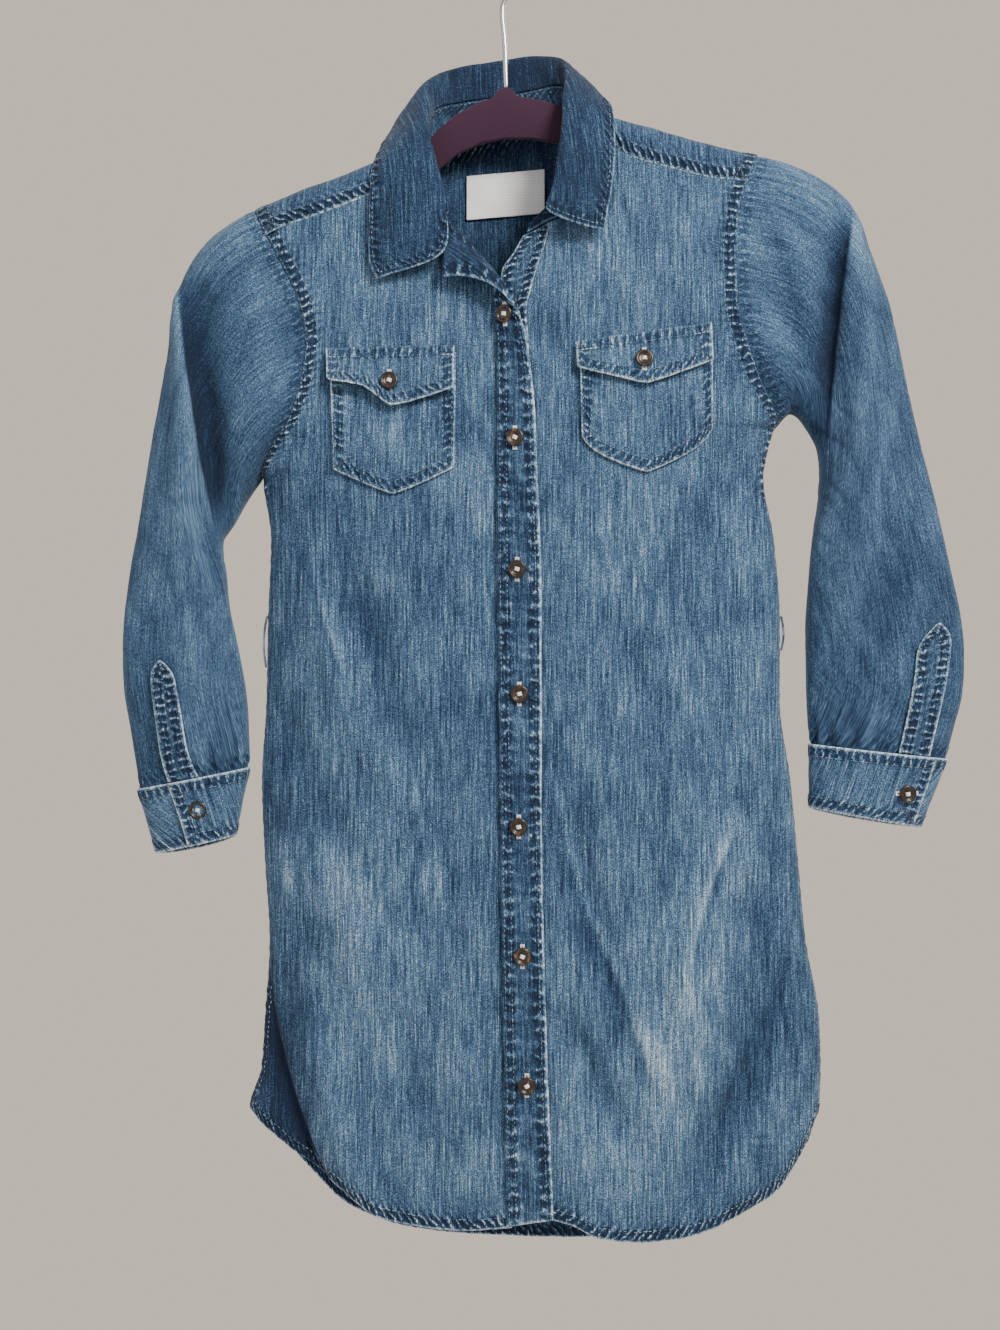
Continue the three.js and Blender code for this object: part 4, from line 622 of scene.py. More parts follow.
def denimMaterial(name, shade, streaky=1.0):
    material, tree, shader = newMaterial(name)
    cloth_uv = addNode(tree, "ShaderNodeUVMap", {"uv_map": "weave"}).outputs[0]
    seam = addNode(tree, "ShaderNodeAttribute", {"attribute_name": "seam"}).outputs["Vector"]
    wearAndShade = addNode(tree, "ShaderNodeAttribute", {"attribute_name": "wearAndShade"}).outputs["Vector"]
    seam = addNode(tree, "ShaderNodeSeparateXYZ", None, {0: seam}).outputs
    wearAndShade = addNode(tree, "ShaderNodeSeparateXYZ", None, {0: wearAndShade}).outputs
    layers = {}
    for key, scale, detail, rough in (
        ("slub", (640, 17, 1), 2, 0.6), ("streak", (1300, 52, 1), 2, 0.6), ("grain", (1500, 1050, 1), 2, 0.7),
        ("fleck", (520, 330, 1), 2, 0.6), ("blotch", (40, 20, 1), 3, 0.6), ("cloud", (11, 7, 1), 2, 0.5),
        ("ragged", (170, 120, 1), 1, 0.5),
    ):
        place = addNode(tree, "ShaderNodeMapping", None, {"Vector": cloth_uv, "Scale": scale})
        layers[key] = addNode(tree, "ShaderNodeTexNoise", None, {
            "Vector": place.outputs[0], "Scale": 1.0, "Detail": detail, "Roughness": rough,
        }).outputs[0]
    # the sum of the layers about a middle tone
    tone = addNode(tree, "ShaderNodeMath", {"operation": "ADD"}, {0: wearAndShade["Y"], 1: shade}).outputs[0]
    for key, weight in (("slub", 0.7 * streaky), ("streak", 1.05 * streaky), ("grain", 1.7), ("fleck", 0.5),
                        ("blotch", 0.34), ("cloud", 0.26)):
        centred = addNode(tree, "ShaderNodeMath", {"operation": "SUBTRACT"}, {0: layers[key], 1: 0.5})
        tone = addNode(tree, "ShaderNodeMath", {"operation": "MULTIPLY_ADD"},
                       {0: centred.outputs[0], 1: weight, 2: tone}).outputs[0]
    # light rungs across the dark band between two rows of stitches
    wobble = addNode(tree, "ShaderNodeMath", {"operation": "MULTIPLY"}, {0: layers["ragged"], 1: 7.0})
    phase = addNode(tree, "ShaderNodeMath", {"operation": "MULTIPLY_ADD"},
                    {0: seam["Y"], 1: 2 * math.pi / 5.4, 2: wobble.outputs[0]})
    wave = addNode(tree, "ShaderNodeMath", {"operation": "SINE"}, {0: phase.outputs[0]}).outputs[0]
    rung = addNode(tree, "ShaderNodeMapRange", {"interpolation_type": "SMOOTHSTEP"},
                   {"Value": wave, "From Min": 0.2, "From Max": 1.0}).outputs[0]
    rise = addNode(tree, "ShaderNodeMapRange", {"interpolation_type": "SMOOTHSTEP"},
                   {"Value": seam["X"], "From Min": 0.4, "From Max": 2.0}).outputs[0]
    fall = addNode(tree, "ShaderNodeMapRange", {"interpolation_type": "SMOOTHSTEP"},
                   {"Value": seam["X"], "From Min": 6.8, "From Max": 8.6, "To Min": 1.0, "To Max": 0.0}).outputs[0]
    band = addNode(tree, "ShaderNodeMath", {"operation": "MULTIPLY"}, {0: rise, 1: fall}).outputs[0]
    band = addNode(tree, "ShaderNodeMath", {"operation": "MULTIPLY"}, {0: band, 1: seam["Z"]}).outputs[0]
    broken = addNode(tree, "ShaderNodeMapRange", {"interpolation_type": "SMOOTHSTEP"},
                     {"Value": layers["fleck"], "From Min": 0.36, "From Max": 0.6}).outputs[0]
    rung = addNode(tree, "ShaderNodeMath", {"operation": "MULTIPLY"}, {0: rung, 1: broken}).outputs[0]
    change = addNode(tree, "ShaderNodeMapRange", None,
                     {"Value": rung, "To Min": -0.25, "To Max": 0.33}).outputs[0]
    tone = addNode(tree, "ShaderNodeMath", {"operation": "MULTIPLY_ADD"},
                   {0: band, 1: change, 2: tone}).outputs[0]
    # faint rungs that fan out past the rows
    fan = addNode(tree, "ShaderNodeMapRange", {"interpolation_type": "SMOOTHSTEP"},
                  {"Value": seam["X"], "From Min": 7.5, "From Max": 17.0, "To Min": 1.0, "To Max": 0.0}).outputs[0]
    fan = addNode(tree, "ShaderNodeMath", {"operation": "MULTIPLY"}, {0: fan, 1: seam["Z"]}).outputs[0]
    fanWave = addNode(tree, "ShaderNodeMath", {"operation": "MULTIPLY_ADD"},
                      {0: wave, 1: 0.1, 2: -0.03}).outputs[0]
    tone = addNode(tree, "ShaderNodeMath", {"operation": "MULTIPLY_ADD"},
                   {0: fan, 1: fanWave, 2: tone}).outputs[0]
    # white edges, rubbed pale by wear
    rough = addNode(tree, "ShaderNodeMath", {"operation": "MULTIPLY_ADD"},
                    {0: layers["fleck"], 1: -1.8, 2: wearAndShade["X"]}).outputs[0]
    edge = addNode(tree, "ShaderNodeMapRange", {"interpolation_type": "SMOOTHSTEP"},
                   {"Value": rough, "From Min": -0.9, "From Max": 0.7, "To Min": 0.5, "To Max": 0.0}).outputs[0]
    tone = addNode(tree, "ShaderNodeMath", {"operation": "ADD"}, {0: tone, 1: edge}).outputs[0]
    # the inner skin is painted darker: painted shade inside the garment
    tone = addNode(tree, "ShaderNodeMath", {"operation": "MULTIPLY_ADD"},
                   {0: wearAndShade["Z"], 1: -0.16, 2: tone}).outputs[0]
    ramp = addNode(tree, "ShaderNodeValToRGB", None, {0: tone})
    stops = ramp.color_ramp.elements
    while len(stops) < len(denimTones):
        stops.new(0.5)
    for stop, place, colour in zip(stops, denimPlaces, denimTones):
        stop.position = place
        stop.color = hexColour(colour)
    height = addNode(tree, "ShaderNodeMath", {"operation": "MULTIPLY_ADD"},
                     {0: layers["grain"], 1: 0.5, 2: layers["slub"]}).outputs[0]
    reach = addNode(tree, "ShaderNodeMath", {"operation": "ADD"}, {0: band, 1: fan}).outputs[0]
    height = addNode(tree, "ShaderNodeMath", {"operation": "MULTIPLY_ADD"},
                     {0: reach, 1: wave, 2: height}).outputs[0]
    bump = addNode(tree, "ShaderNodeBump", None, {"Height": height, "Distance": 0.0005, "Strength": 0.7})
    tree.links.new(ramp.outputs[0], shader.inputs["Base Color"])
    tree.links.new(bump.outputs[0], shader.inputs["Normal"])
    shader.inputs["Roughness"].default_value = 0.9
    shader.inputs["Specular IOR Level"].default_value = 0.18
    shader.inputs["Sheen Weight"].default_value = 0.16
    shader.inputs["Sheen Roughness"].default_value = 0.5
    shader.inputs["Sheen Tint"].default_value = hexColour("#b9c8d8")
    return material


denim = denimMaterial("washed_indigo_denim", -0.1)
denimDeep = denimMaterial("washed_indigo_denim_seams", -0.17)
denimSleeve = denimMaterial("washed_indigo_denim_sleeves", -0.1, 0.6)
print("denim mixed")


def armholeZ(hand, turns):
    rings = sleeveRingsRight if hand < 0 else sleeveRingsLeft
    share = (1 - np.cos(np.asarray(turns, float) / 28 * 2 * np.pi)) / 2
    return mix(rings["outZ"][0], rings["inZ"][0], share)


def sideHeights(hand, firstTurn, upper, lower):
    armhole = armholeZ(hand, np.linspace(firstTurn, 14, upper))
    hem = -777.5 if hand < 0 else -779.5
    return np.concatenate([armhole, np.linspace(armhole[-1], hem, lower + 1)[1:]])


def lowSide(z):
    return follow(bodySections, "z", "low", z)


def highSide(z):
    return follow(bodySections, "z", "high", z)


def rightFrontEdge(z):
    return follow(centreSeams, "z", "seam", z) + 3 * smooth((-255 - z) / 30)


def leftFrontEdge(z):
    return follow(centreSeams, "z", "underSeam", z) + cloth["gap"]


def pairs(table, first=0, last=None):
    return np.stack([table["x"], table["z"]], -1)[first:last]


def frontSpots(hand):
    heights = sideHeights(hand, 3, 84, 186)
    first, last = heights[0], heights[-1]
    if hand < 0:
        seamPart, neckPart, hem, side, edge = pairs(yokeEdge, 0, 8), pairs(necklineRight), hemRight, lowSide, rightFrontEdge
    else:
        seamPart, neckPart, hem, side, edge = pairs(yokeEdge, 20)[::-1], pairs(necklineLeft), hemLeft, highSide, leftFrontEdge
    a = np.linspace(0, len(seamPart) - 1, 54)
    b = np.linspace(0, len(neckPart) - 1, 40)[1:]
    top = np.concatenate([between(seamPart, a), between(neckPart, b)])
    place = np.concatenate([a, b + len(seamPart) - 1])
    u = place / place[-1]
    share = 0.55 * u + 0.45 * (1 - np.cos(u * np.pi / 2))
    topX, topZ = top[:, 0], top[:, 1]
    topShare = np.clip((topX - side(topZ)) / (edge(topZ) - side(topZ)), 0, 1)
    lowX = mix(side(last), edge(-845.0), share)
    lowZ = follow(hem, "x", "z", lowX)
    v = ((first - heights) / (first - last))[:, None]
    sideZ = heights[:, None] - cloth["gap"] * (1 - v)
    z = mix(sideZ, mix((topZ - cloth["gap"])[None], lowZ[None], v), smooth(place)[None])
    part = mix(topShare[None], share[None], smooth(v / 0.25))
    part[:, 0], part[:, -1] = 0, 1
    return mix(side(z), edge(z), part), z


# Broad light and dark places on the fronts: fading left by the wash, and painted shade where folds shadow the cloth,
# such as the dark patch low on the right front.
washAndShadePatches = columns("x z wide tall strength", [
    (74, -400, 40, 60, 0.02), (-58, -604, 50, 80, -0.01), (120, -548, 40, 80, 0.0), (136, -640, 30, 60, 0.03),
    (-84, -232, 40, 24, 0.06), (92, -226, 40, 26, 0.01), (-150, -740, 40, 70, -0.14), (8, -480, 16, 300, -0.05),
    (-70, -410, 40, 40, -0.06), (84, -770, 50, 60, 0.18), (128, -690, 30, 50, 0.06), (150, -800, 30, 40, -0.06), (60, -330, 30, 40, -0.04), (-100, -700, 20, 70, 0.08), (168, -700, 30, 60, -0.06),
    (-20, -780, 40, 50, 0.04), (100, -330, 40, 20, -0.05), (-75, -335, 40, 20, -0.03),
])


def washAndShadeTone(x, z):
    tone = np.zeros(np.broadcast(x, z).shape)
    for k in range(len(washAndShadePatches["x"])):
        dx = (x - washAndShadePatches["x"][k]) / washAndShadePatches["wide"][k]
        dz = (z - washAndShadePatches["z"][k]) / washAndShadePatches["tall"][k]
        tone = tone + washAndShadePatches["strength"][k] * np.exp(-dx * dx - dz * dz)
    return tone


def crumple(x, z, seed, strength=1.0):
    # fine uneven creases, longer up and down than across
    soft = ripple(x, 0.5 * z, seed, 17) * 0.35 + ripple(x + 0.35 * z, 0.5 * z, seed + 1, 38) * 0.7
    sharp = np.abs(ripple(x + 0.25 * z, 0.4 * z, seed + 2, 30))
    return strength * (soft - 0.9 * np.exp(-((sharp / 0.16) ** 2)) + 0.2)


def sewnCloth(name, outer, inner, seams, bright=(), kind=1.0, seed=1, wrap=False, lift=None, tone=0.0,
              grain=None, material=None, pucker=0.45, ridge=0.5, rungs=1.0, edging=1.0):
    # Lays seams, puckers and creases on a panel and makes its piece; gives back the outer skin too.
    normal = gridNormals(outer, wrap)
    if np.sum(normal * (outer - inner)) < 0:
        normal = -normal
    distance, along = seamField(outer, seams) if seams else (np.full(outer.shape[:2], 99.0), np.zeros(outer.shape[:2]))
    edge = seamField(outer, bright)[0] if bright else np.full(outer.shape[:2], 99.0)
    move = np.zeros(outer.shape[:2]) if lift is None else lift
    drawn = puckers(distance, along, seed, pucker)
    near = seamRidge(distance, height=ridge) if seams else 0
    face = outer + normal * (move + drawn + near)[..., None]
    back = inner + normal * (move + drawn)[..., None]
    across, down = gridLengths(outer)
    u, v = grain if grain is not None else (across, down)
    # paler where the cloth stands up and darker in its hollows: wear on the raised cloth, with painted shade in the
    # hollows
    shade = 0.5 + 0.07 * np.clip(move, -1.5, 1.5) + tone + 0.1 * drawn
    piece = clothPiece(name, face, back, (u + 1000 * seed * 0.37, v), (distance, along * rungs, kind, edge * edging, shade),
                       material or denim, wrap)
    return piece, face, gridNormals(face, wrap) * np.sign(np.sum(gridNormals(face, wrap) * (face - back)))


def measured(points):
    a = points[1:, 1:] - points[:-1, :-1]
    b = points[1:, :-1] - points[:-1, 1:]
    return float(np.sum(np.linalg.norm(np.cross(a, b), axis=-1)) / 2)


def declare(piece, node, points, scale=1.0):
    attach(piece, "root")
    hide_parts(node)
    across, down = gridLengths(points)
    width, length = float(np.median(across[:, -1])), float(np.median(down[-1]))
    area = measured(points) * 1e-6
    width, length = max(width, area * 1e6 / length * 1.02), length
    print("sheet", node, round(width), round(length), round(area, 4))


def foldWearAndShade(folds):
    # ridges wear pale; troughs are painted darker, partly for the dye they keep and partly as painted shade
    return 0.021 * np.clip(folds, -9, 0) + 0.011 * np.clip(folds, 0, 8)


def sideFade(x, z):
    # creases die out towards the sides so that panels still meet
    return smooth((bodyHalf(z) - np.abs(x - bodyMiddle(z))) / 16)


fronts = {}
for hand, name in ((-1, "right"), (1, "left")):
    x, z = frontSpots(hand)
    outer, inner = bodyPointAt(-1, x, z, 0), bodyPointAt(-1, x, z, cloth["wall"])
    top = smooth((gridLengths(outer)[1]) / 14)
    lift = crumple(x, z, 11, 0.75) * sideFade(x, z) * top
    folds = foldHeight(frontFolds, x, z)
    tuck, shade = tuckFold(frontTucks, x, z)
    lift = lift + tuck * sideFade(x, z)
    tone = washAndShadeTone(x, z) + foldWearAndShade(folds) + shade
    across, down = gridLengths(outer)
    # the side seam is turned under and shows no rows until near the right hem
    plain = smooth((-372 - z) / 12) * (smooth((z + 700) / 14) if hand < 0 else 1)
    kind = 1 - 0.94 * plain * smooth((down[-1:] - down - across) / 4)
    piece, face, normal = sewnCloth(
        "denim_front_" + name, outer, inner, ("left", "bottom"), ("bottom",), kind, 21 + hand, lift=lift,
        tone=tone, grain=(x, -z), pucker=0.45 * kind, ridge=0.5 * kind,
    )
    declare(piece, "front_" + name, outer)
    fronts[name] = (face, normal)
print("fronts made")


def backSeamZ(x):
    ends = [(lowSide(armholeZ(-1, 6)), armholeZ(-1, 6)), (highSide(armholeZ(1, 6)), armholeZ(1, 6))]
    return mix(ends[0][1], ends[1][1], (x - ends[0][0]) / (ends[1][0] - ends[0][0]))


u = np.linspace(0, 1, 118)[None]
rightHeights, leftHeights = sideHeights(-1, 6, 70, 190), sideHeights(1, 6, 70, 190)
evenRight = (rightHeights[0] - rightHeights) / (rightHeights[0] - rightHeights[-1])
evenLeft = (leftHeights[0] - leftHeights) / (leftHeights[0] - leftHeights[-1])
across = 0.55 * (2 * u - 1) - 0.45 * np.cos(u * np.pi)
v = mix(evenRight[:, None], evenLeft[:, None], u)
topZ = backSeamZ(bodyMiddle(-240.0) + across * bodyHalf(-240.0))
lowZ = follow(hemBack, "x", "z", bodyMiddle(-845.0) + across * bodyHalf(-845.0))
z = mix(topZ, lowZ, v)
sideBlend = smooth(np.minimum(u, 1 - u) * 20)
z = mix(np.where(u < 0.5, rightHeights[:, None], leftHeights[:, None]), z, sideBlend) - cloth["gap"] * (1 - v)
across = np.broadcast_to(across, z.shape)
outer, inner = bodyPoint(1, across, z, 0), bodyPoint(1, across, z, cloth["wall"])
x = outer[..., 0]
lift = crumple(x, z, 31, 0.8) * sideFade(x, z) * smooth(gridLengths(outer)[1] / 14)
piece, face, normal = sewnCloth("denim_back", outer, inner, ("left", "right", "bottom", "top"), ("bottom",), 0.8, 33,
                                lift=lift, tone=foldWearAndShade(foldHeight(backFolds, x, z)), grain=(x, -z))
declare(piece, "back", outer)
backPanel = (face, normal)
print("back made")

place = np.concatenate([np.linspace(0, 7, 44), np.linspace(7, 20, 62)[1:-1], np.linspace(20, 26, 40)])
edgePoints = pairs(yokeEdge)
end = np.concatenate([
    between(edgePoints[:8], place[place <= 7]), between(edgePoints[7:21], place[(place > 7) & (place < 20)] - 7),
    between(edgePoints[20:], place[place >= 20] - 20),
])
rootAt = [yokeEdge["side"][k] * math.sqrt(max(crestZ(edgePoints[k, 0]) - edgePoints[k, 1], 0)) for k in range(27)]
endRoot = np.where((place <= 7) | (place >= 20),
                   -np.sqrt(np.maximum(crestZ(end[:, 0]) - end[:, 1], 0)), np.interp(place, np.arange(27), rootAt))
t = np.linspace(0, 1, 66)[:, None]
lowAcross = (-1 + 2 * place / 26)[None]
lowX = bodyMiddle(-240.0) + lowAcross * bodyHalf(-240.0)
lowRoot = np.sqrt(crestZ(lowX) - backSeamZ(lowX))
across = mix(lowAcross, acrossOf(end[:, 0], end[:, 1])[None], smooth(t))
root = mix(lowRoot, endRoot[None], t)
turn = 6 - 9 * t
for hand, weight in ((-1, 1 - smooth(place)[None]), (1, 1 - smooth(26 - place)[None])):
    sideZ = armholeZ(hand, np.abs(turn))
    sideX = (lowSide if hand < 0 else highSide)(sideZ)
    sideRoot = np.sign(turn) * np.sqrt(np.maximum(crestZ(sideX) - sideZ, 0))
    root = mix(root, sideRoot, weight)
    across = mix(across, hand, weight)
z = np.full(root.shape, -190.0)
for _ in range(14):
    z = crestZ(bodyMiddle(z) + across * bodyHalf(z)) - root * root
side = np.where(root < 0, -1, 1)
outer, inner = bodyPoint(side, across, z, 0), bodyPoint(side, across, z, cloth["wall"])
lift = ripple(outer[..., 0], outer[..., 2], 41, 26) * 0.25
piece, face, normal = sewnCloth("denim_yoke", outer, inner, ("left", "right", "bottom", "top"), ("bottom",), 1.0, 43,
                                lift=lift, tone=-0.06, grain=(outer[..., 0], gridLengths(outer)[1]))
declare(piece, "yoke", outer)
yokePanel = (face, normal)
print("yoke made")

heights = frontSpots(1)[1][:, -1]
j = np.arange(len(heights)) / (len(heights) - 1) * 26
s = np.linspace(0, 1, 18)[None]
z = np.maximum(heights, -838)[:, None] - 9 * (1 - smooth(j / 5))[:, None] * (1 - s)
x = mix(follow(centreSeams, "z", "openEdge", z) + cloth["gap"], follow(centreSeams, "z", "underSeam", z), s)
outer, inner = bodyPointAt(-1, x, z, 0), bodyPointAt(-1, x, z, cloth["wall"])
piece, face, normal = sewnCloth("denim_placket_under", outer, inner, ("left", "right"), ("left", "right", "top"), 1.0,
                                51, tone=-0.02, grain=(x, -z), material=denimDeep, ridge=0.2)
declare(piece, "placket_under", outer)
underStrip = (face, normal)


def stripCurve(seam, free, proud, rollX, rollY, t):
    free = free - np.array([0, 1, 0]) * proud[:, None]
    roll = np.stack([rollX, rollY, 0 * rollX], -1)
    first = mix(seam + roll * np.array([1, 0.8, 1]), free, 0.2)
    second = mix(free + roll, seam, 0.25)
    t = t[None, :, None]
    seam, first, second, free = (p[:, None] for p in (seam, first, second, free))
    return (1 - t) ** 3 * seam + 3 * t * (1 - t) ** 2 * first + 3 * t * t * (1 - t) * second + t ** 3 * free


def stripGrid(cols):
    lift = -(cloth["lift"] + cloth["stripWall"] / 2)
    t = np.linspace(0, 1, cols)
    rows = np.linspace(0, 10, 84)
    values = {key: between(stripRows[key], rows) for key in stripRows}
    seam = bodyPointAt(-1, values["seamX"], values["seamZ"], lift)
    free = bodyPointAt(-1, values["freeX"], values["freeZ"], lift)
    upper = stripCurve(seam, free, values["proud"], values["rollX"], values["rollY"], t)
    run = np.linspace(0, 19, 215)[1:, None]
    z = mix(-340, -842.5, run / 19)
    x = mix(follow(stripRun, "z", "seam", z), follow(stripRun, "z", "free", z), t[None])
    lower = bodyPointAt(-1, x, z + 4 * t[None] * smooth((run - 14) / 5), lift)
    lower[..., 1] -= 1.4 * (1 - smooth(run / 3)) * t[None]
    return np.concatenate([upper, lower])


def wallAbout(points, thickness, wrap=False):
    normal = gridNormals(points, wrap)
    return points + normal * thickness / 2, points - normal * thickness / 2


grid = stripGrid(30)
one, two = wallAbout(grid, cloth["stripWall"])
outer, inner = (one, two) if np.mean(one[-50:, :, 1]) < np.mean(two[-50:, :, 1]) else (two, one)
across, down = gridLengths(outer)
drawn = ripple(0.35 * across, down, 55, 9) * smooth(across / 9) * 0.4 + ripple(across, down, 56, 26) * 0.4
piece, face, normal = sewnCloth("denim_placket_top", outer, inner, ("right", "left"), ("right", "bottom"), 0.75,
                                53, rungs=0.66, edging=0.62, lift=drawn * 0.7, tone=-0.02 + 0.13 * drawn, grain=(across, down),
                                material=denimDeep, ridge=0.25)
declare(piece, "placket_top", outer)
topStrip = (face, normal)
print("plackets made")


def halfDepths(folds):
    return {**folds, "depth": folds["depth"] * 0.4}


sleeves = {}
for hand, name, rings, foldRows in (
    (-1, "right", sleeveRingsRight, mainSleeveFoldsRight + smallSleeveFoldsRight),
    (1, "left", sleeveRingsLeft, mainSleeveFoldsLeft + smallSleeveFoldsLeft),
):
    folds = columns(foldNames, foldRows)
    sleeves[name] = {"hand": hand, "rings": rings, "folds": folds, "backFolds": halfDepths(folds)}


def armholePoint(sleeve, turn, inset):
    z = mix(sleeve["rings"]["outZ"][0], sleeve["rings"]["inZ"][0], (1 - np.cos(turn)) / 2)
    hand = sleeve["hand"]
    side = np.where(np.sin(turn) >= 0, -1, 1)
    point = bodyPoint(side, hand, z, inset)
    point[..., 0] = bodyPoint(side, hand, z, 0)[..., 0] + hand * cloth["gap"]
    underarm = cloth["underarmRight"] if hand < 0 else cloth["underarmLeft"]
    near = 1 - np.sqrt(np.clip((z - underarm) / cloth["underarmRun"], 0, 1))
    point[..., 2] += cloth["underarmWallRise"] * inset * near
    return point


def ringPoint(sleeve, place, turn, inset):
    rings = sleeve["rings"]
    outX, outZ = between(rings["outX"], place), between(rings["outZ"], place)
    inX, inZ = between(rings["inX"], place), between(rings["inZ"], place)
    shorten = inset / np.hypot(inX - outX, inZ - outZ)
    share = mix(shorten, 1 - shorten, (1 - np.cos(turn)) / 2)
    x, z = mix(outX, inX, share), mix(outZ, inZ, share)
    sine = np.sin(turn)
    plump = np.abs(sine) ** 0.8
    folds = np.where(sine >= 0, foldHeight(sleeve["folds"], x, z), foldHeight(sleeve["backFolds"], x, z)) * plump
    depth = (between(rings["depth"], place) - inset) * plump + folds
    return np.stack([x, np.where(sine >= 0, -depth, depth), z], -1)


def sleevePoint(sleeve, place, turn, inset):
    place, turn = np.broadcast_arrays(np.asarray(place, float), turn)
    nearCuff = smooth((place - (len(sleeve["rings"]["outX"]) - 2.1)) / 1.1)
    innerHalf = smooth((0.15 - np.cos(turn)) / 0.5)
    pleat = cloth["gatherDepth"] * nearCuff * innerHalf * (0.5 - 0.5 * np.cos(cloth["gatherPleats"] * turn))
    point = ringPoint(sleeve, place, turn, inset + pleat)
    leave = (1 - smooth(place / 4))[..., None]
    return point + leave * (armholePoint(sleeve, turn, inset) - ringPoint(sleeve, 0.0, turn, inset))


sleeveSkins = {}
for name, sleeve in sleeves.items():
    last = len(sleeve["rings"]["outX"]) - 1
    turn = np.linspace(0, 2 * np.pi, 157)[None, :-1]
    place = np.concatenate([[0, 0.03], np.linspace(0.06, last - 0.06, 172), [last - 0.03, last]])[:, None]
    outer = sleevePoint(sleeve, place, turn, 0)
    inner = sleevePoint(sleeve, place, turn, cloth["wall"])
    x, z = outer[..., 0], outer[..., 2]
    girth = np.cumsum(np.linalg.norm(np.roll(outer, -1, 1) - outer, axis=-1), 1)
    down = gridLengths(outer)[1]
    ends = smooth(down / 22) * smooth((down[-1:] - down) / 10)
    waves = np.sin(turn * 3 + place * 1.3) * 0.35 + np.sin(turn * 5 - place * 2.1 + 1) * 0.3
    lift = (crumple(x + 0.4 * z * sleeve["hand"], z, 61 + sleeve["hand"], 0.75) * smooth(np.abs(np.sin(turn)) * 3)
            + waves) * ends
    pleats = (np.cos(cloth["gatherPleats"] * turn) * 0.5 + 0.25 * np.cos(23 * turn + 1.3)) * smooth((0.3 - np.cos(turn)) / 0.5)
    nearCuff = smooth((place - last + 1.15) / 1.1) * smooth((down[-1:] - down) / 3)
    lift = lift + 1.1 * pleats * nearCuff
    tuck, shade = tuckFold(sleeveTucks[name], x, z)
    facing = smooth(np.sin(turn) * 4)
    lift = lift + tuck * facing
    # fold troughs painted darker as on the body, painted shade in the valleys of the gathers above the cuff with paler
    # crests, and darker towards both ends
    tone = foldWearAndShade(foldHeight(sleeve["folds"], x, z)) * 0.7 - 0.05 * (1 - ends) + 0.12 * pleats * nearCuff
    capLight = 0.17 * np.exp(-(((z + 184) / 58) ** 2)) * smooth(np.sin(turn) * 2 + 0.6)
    # the tuck adds its painted shade on the front of the sleeve
    tone = tone + shade * facing + capLight - (0.1 if name == "left" else 0.05)
    piece, face, normal = sewnCloth("denim_sleeve_" + name, outer, inner, ("top", "bottom"), (), 0.35, 63, wrap=True,
                                    lift=lift, tone=tone, grain=(girth, down), ridge=0.0, material=denimSleeve)
    declare(piece, "sleeve_" + name, outer)
    sleeveSkins[name] = (face, normal)

    rows = towerRows[name]
    at = np.linspace(0, len(rows["ring"]) - 1, 70)[:, None]
    share = mix(between(rows["near"], at), between(rows["far"], at), np.linspace(0, 1, 24)[None])
    base = sleevePoint(sleeve, between(rows["ring"], at), np.arccos(1 - 2 * share), 0)
    outer, inner = base.copy(), base.copy()
    outer[..., 1] -= cloth["lift"] + cloth["wall"]
    inner[..., 1] -= cloth["lift"]
    towerLift = np.full(outer.shape[:2], 0.6)
    piece, face, normal = sewnCloth("denim_sleeve_placket_" + name, outer, inner, ("left", "right", "top"),
                                    ("left", "right", "top"), 0.9, 65, lift=towerLift, tone=-0.02, ridge=0.1,
                                    material=denimDeep)
    declare(piece, "sleeve_placket_" + name, outer)
    sleeveSkins["placket_" + name] = (face, normal)
print("sleeves made")


def cuffPoint(cuff, degrees, down, outset):
    turn = np.radians(degrees)
    outX, outZ, inX, inZ = (mix(cuff["top"][k], cuff["bottom"][k], down) for k in range(4))
    stretch = outset / np.hypot(inX - outX, inZ - outZ)
    share = mix(-stretch, 1 + stretch, (1 - np.cos(turn)) / 2)
    plump = np.sign(np.sin(turn)) * np.abs(np.sin(turn)) ** 0.8
    hang = cuff["backDrop"] * down * np.maximum(-np.sin(turn), 0)
    return np.stack([mix(outX, inX, share), -(cuff["depth"] + outset) * plump, mix(outZ, inZ, share) - hang], -1)


def cuffOutset(past):
    return (cloth["wall"] + 0.8) * (1 - smooth((past - cloth["cuffUnderlap"] - 20) / 70))


cuffSkins = {}
for name, cuff in cuffShapes.items():
    past = np.linspace(0, 360 + cloth["cuffUnderlap"], 190)[None]
    down = np.linspace(0, 1, 30)[:, None]
    degrees = mix(cuff["openTop"], cuff["openBottom"], down) + past
    inner = cuffPoint(cuff, degrees, down, cuffOutset(past))
    outer = cuffPoint(cuff, degrees, down, cuffOutset(past) + cloth["wall"])
    lengths = gridLengths(outer)
    middle = np.sin(np.pi * down)
    lift = 0.3 * ripple(lengths[0], lengths[1], 71, 20) * middle
    piece, face, normal = sewnCloth("denim_cuff_" + name, outer, inner, ("top", "bottom", "left"),
                                    ("top", "bottom", "left"), 0.8, 73, lift=lift, tone=0.02, ridge=0.15)
    declare(piece, "cuff_" + name, outer)
    cuffSkins[name] = (face, normal)
print("cuffs made")


def patchGrid(patch, cols, rows):
    (ax, az), (bx, bz), (cx, cz), (dx, dz) = patch["corners"]
    u, v = np.linspace(0, 1, cols)[None], np.linspace(0, 1, rows)[:, None]
    point = patch["point"] * (1 - np.abs(2 * u - 1) ** 1.15)
    x = mix(mix(ax, bx, u), mix(cx, dx, u), v)
    corner = patch.get("round", 0) * np.abs(2 * u - 1) ** 7
    sway = patch.get("sway", 0) * (np.exp(-(((u - 0.3) / 0.14) ** 2)) - 0.5 * np.exp(-((u / 0.12) ** 2)))
    z = mix(mix(az, bz, u), mix(cz, dz, u) - point + corner + sway, v)
    return x, z, v


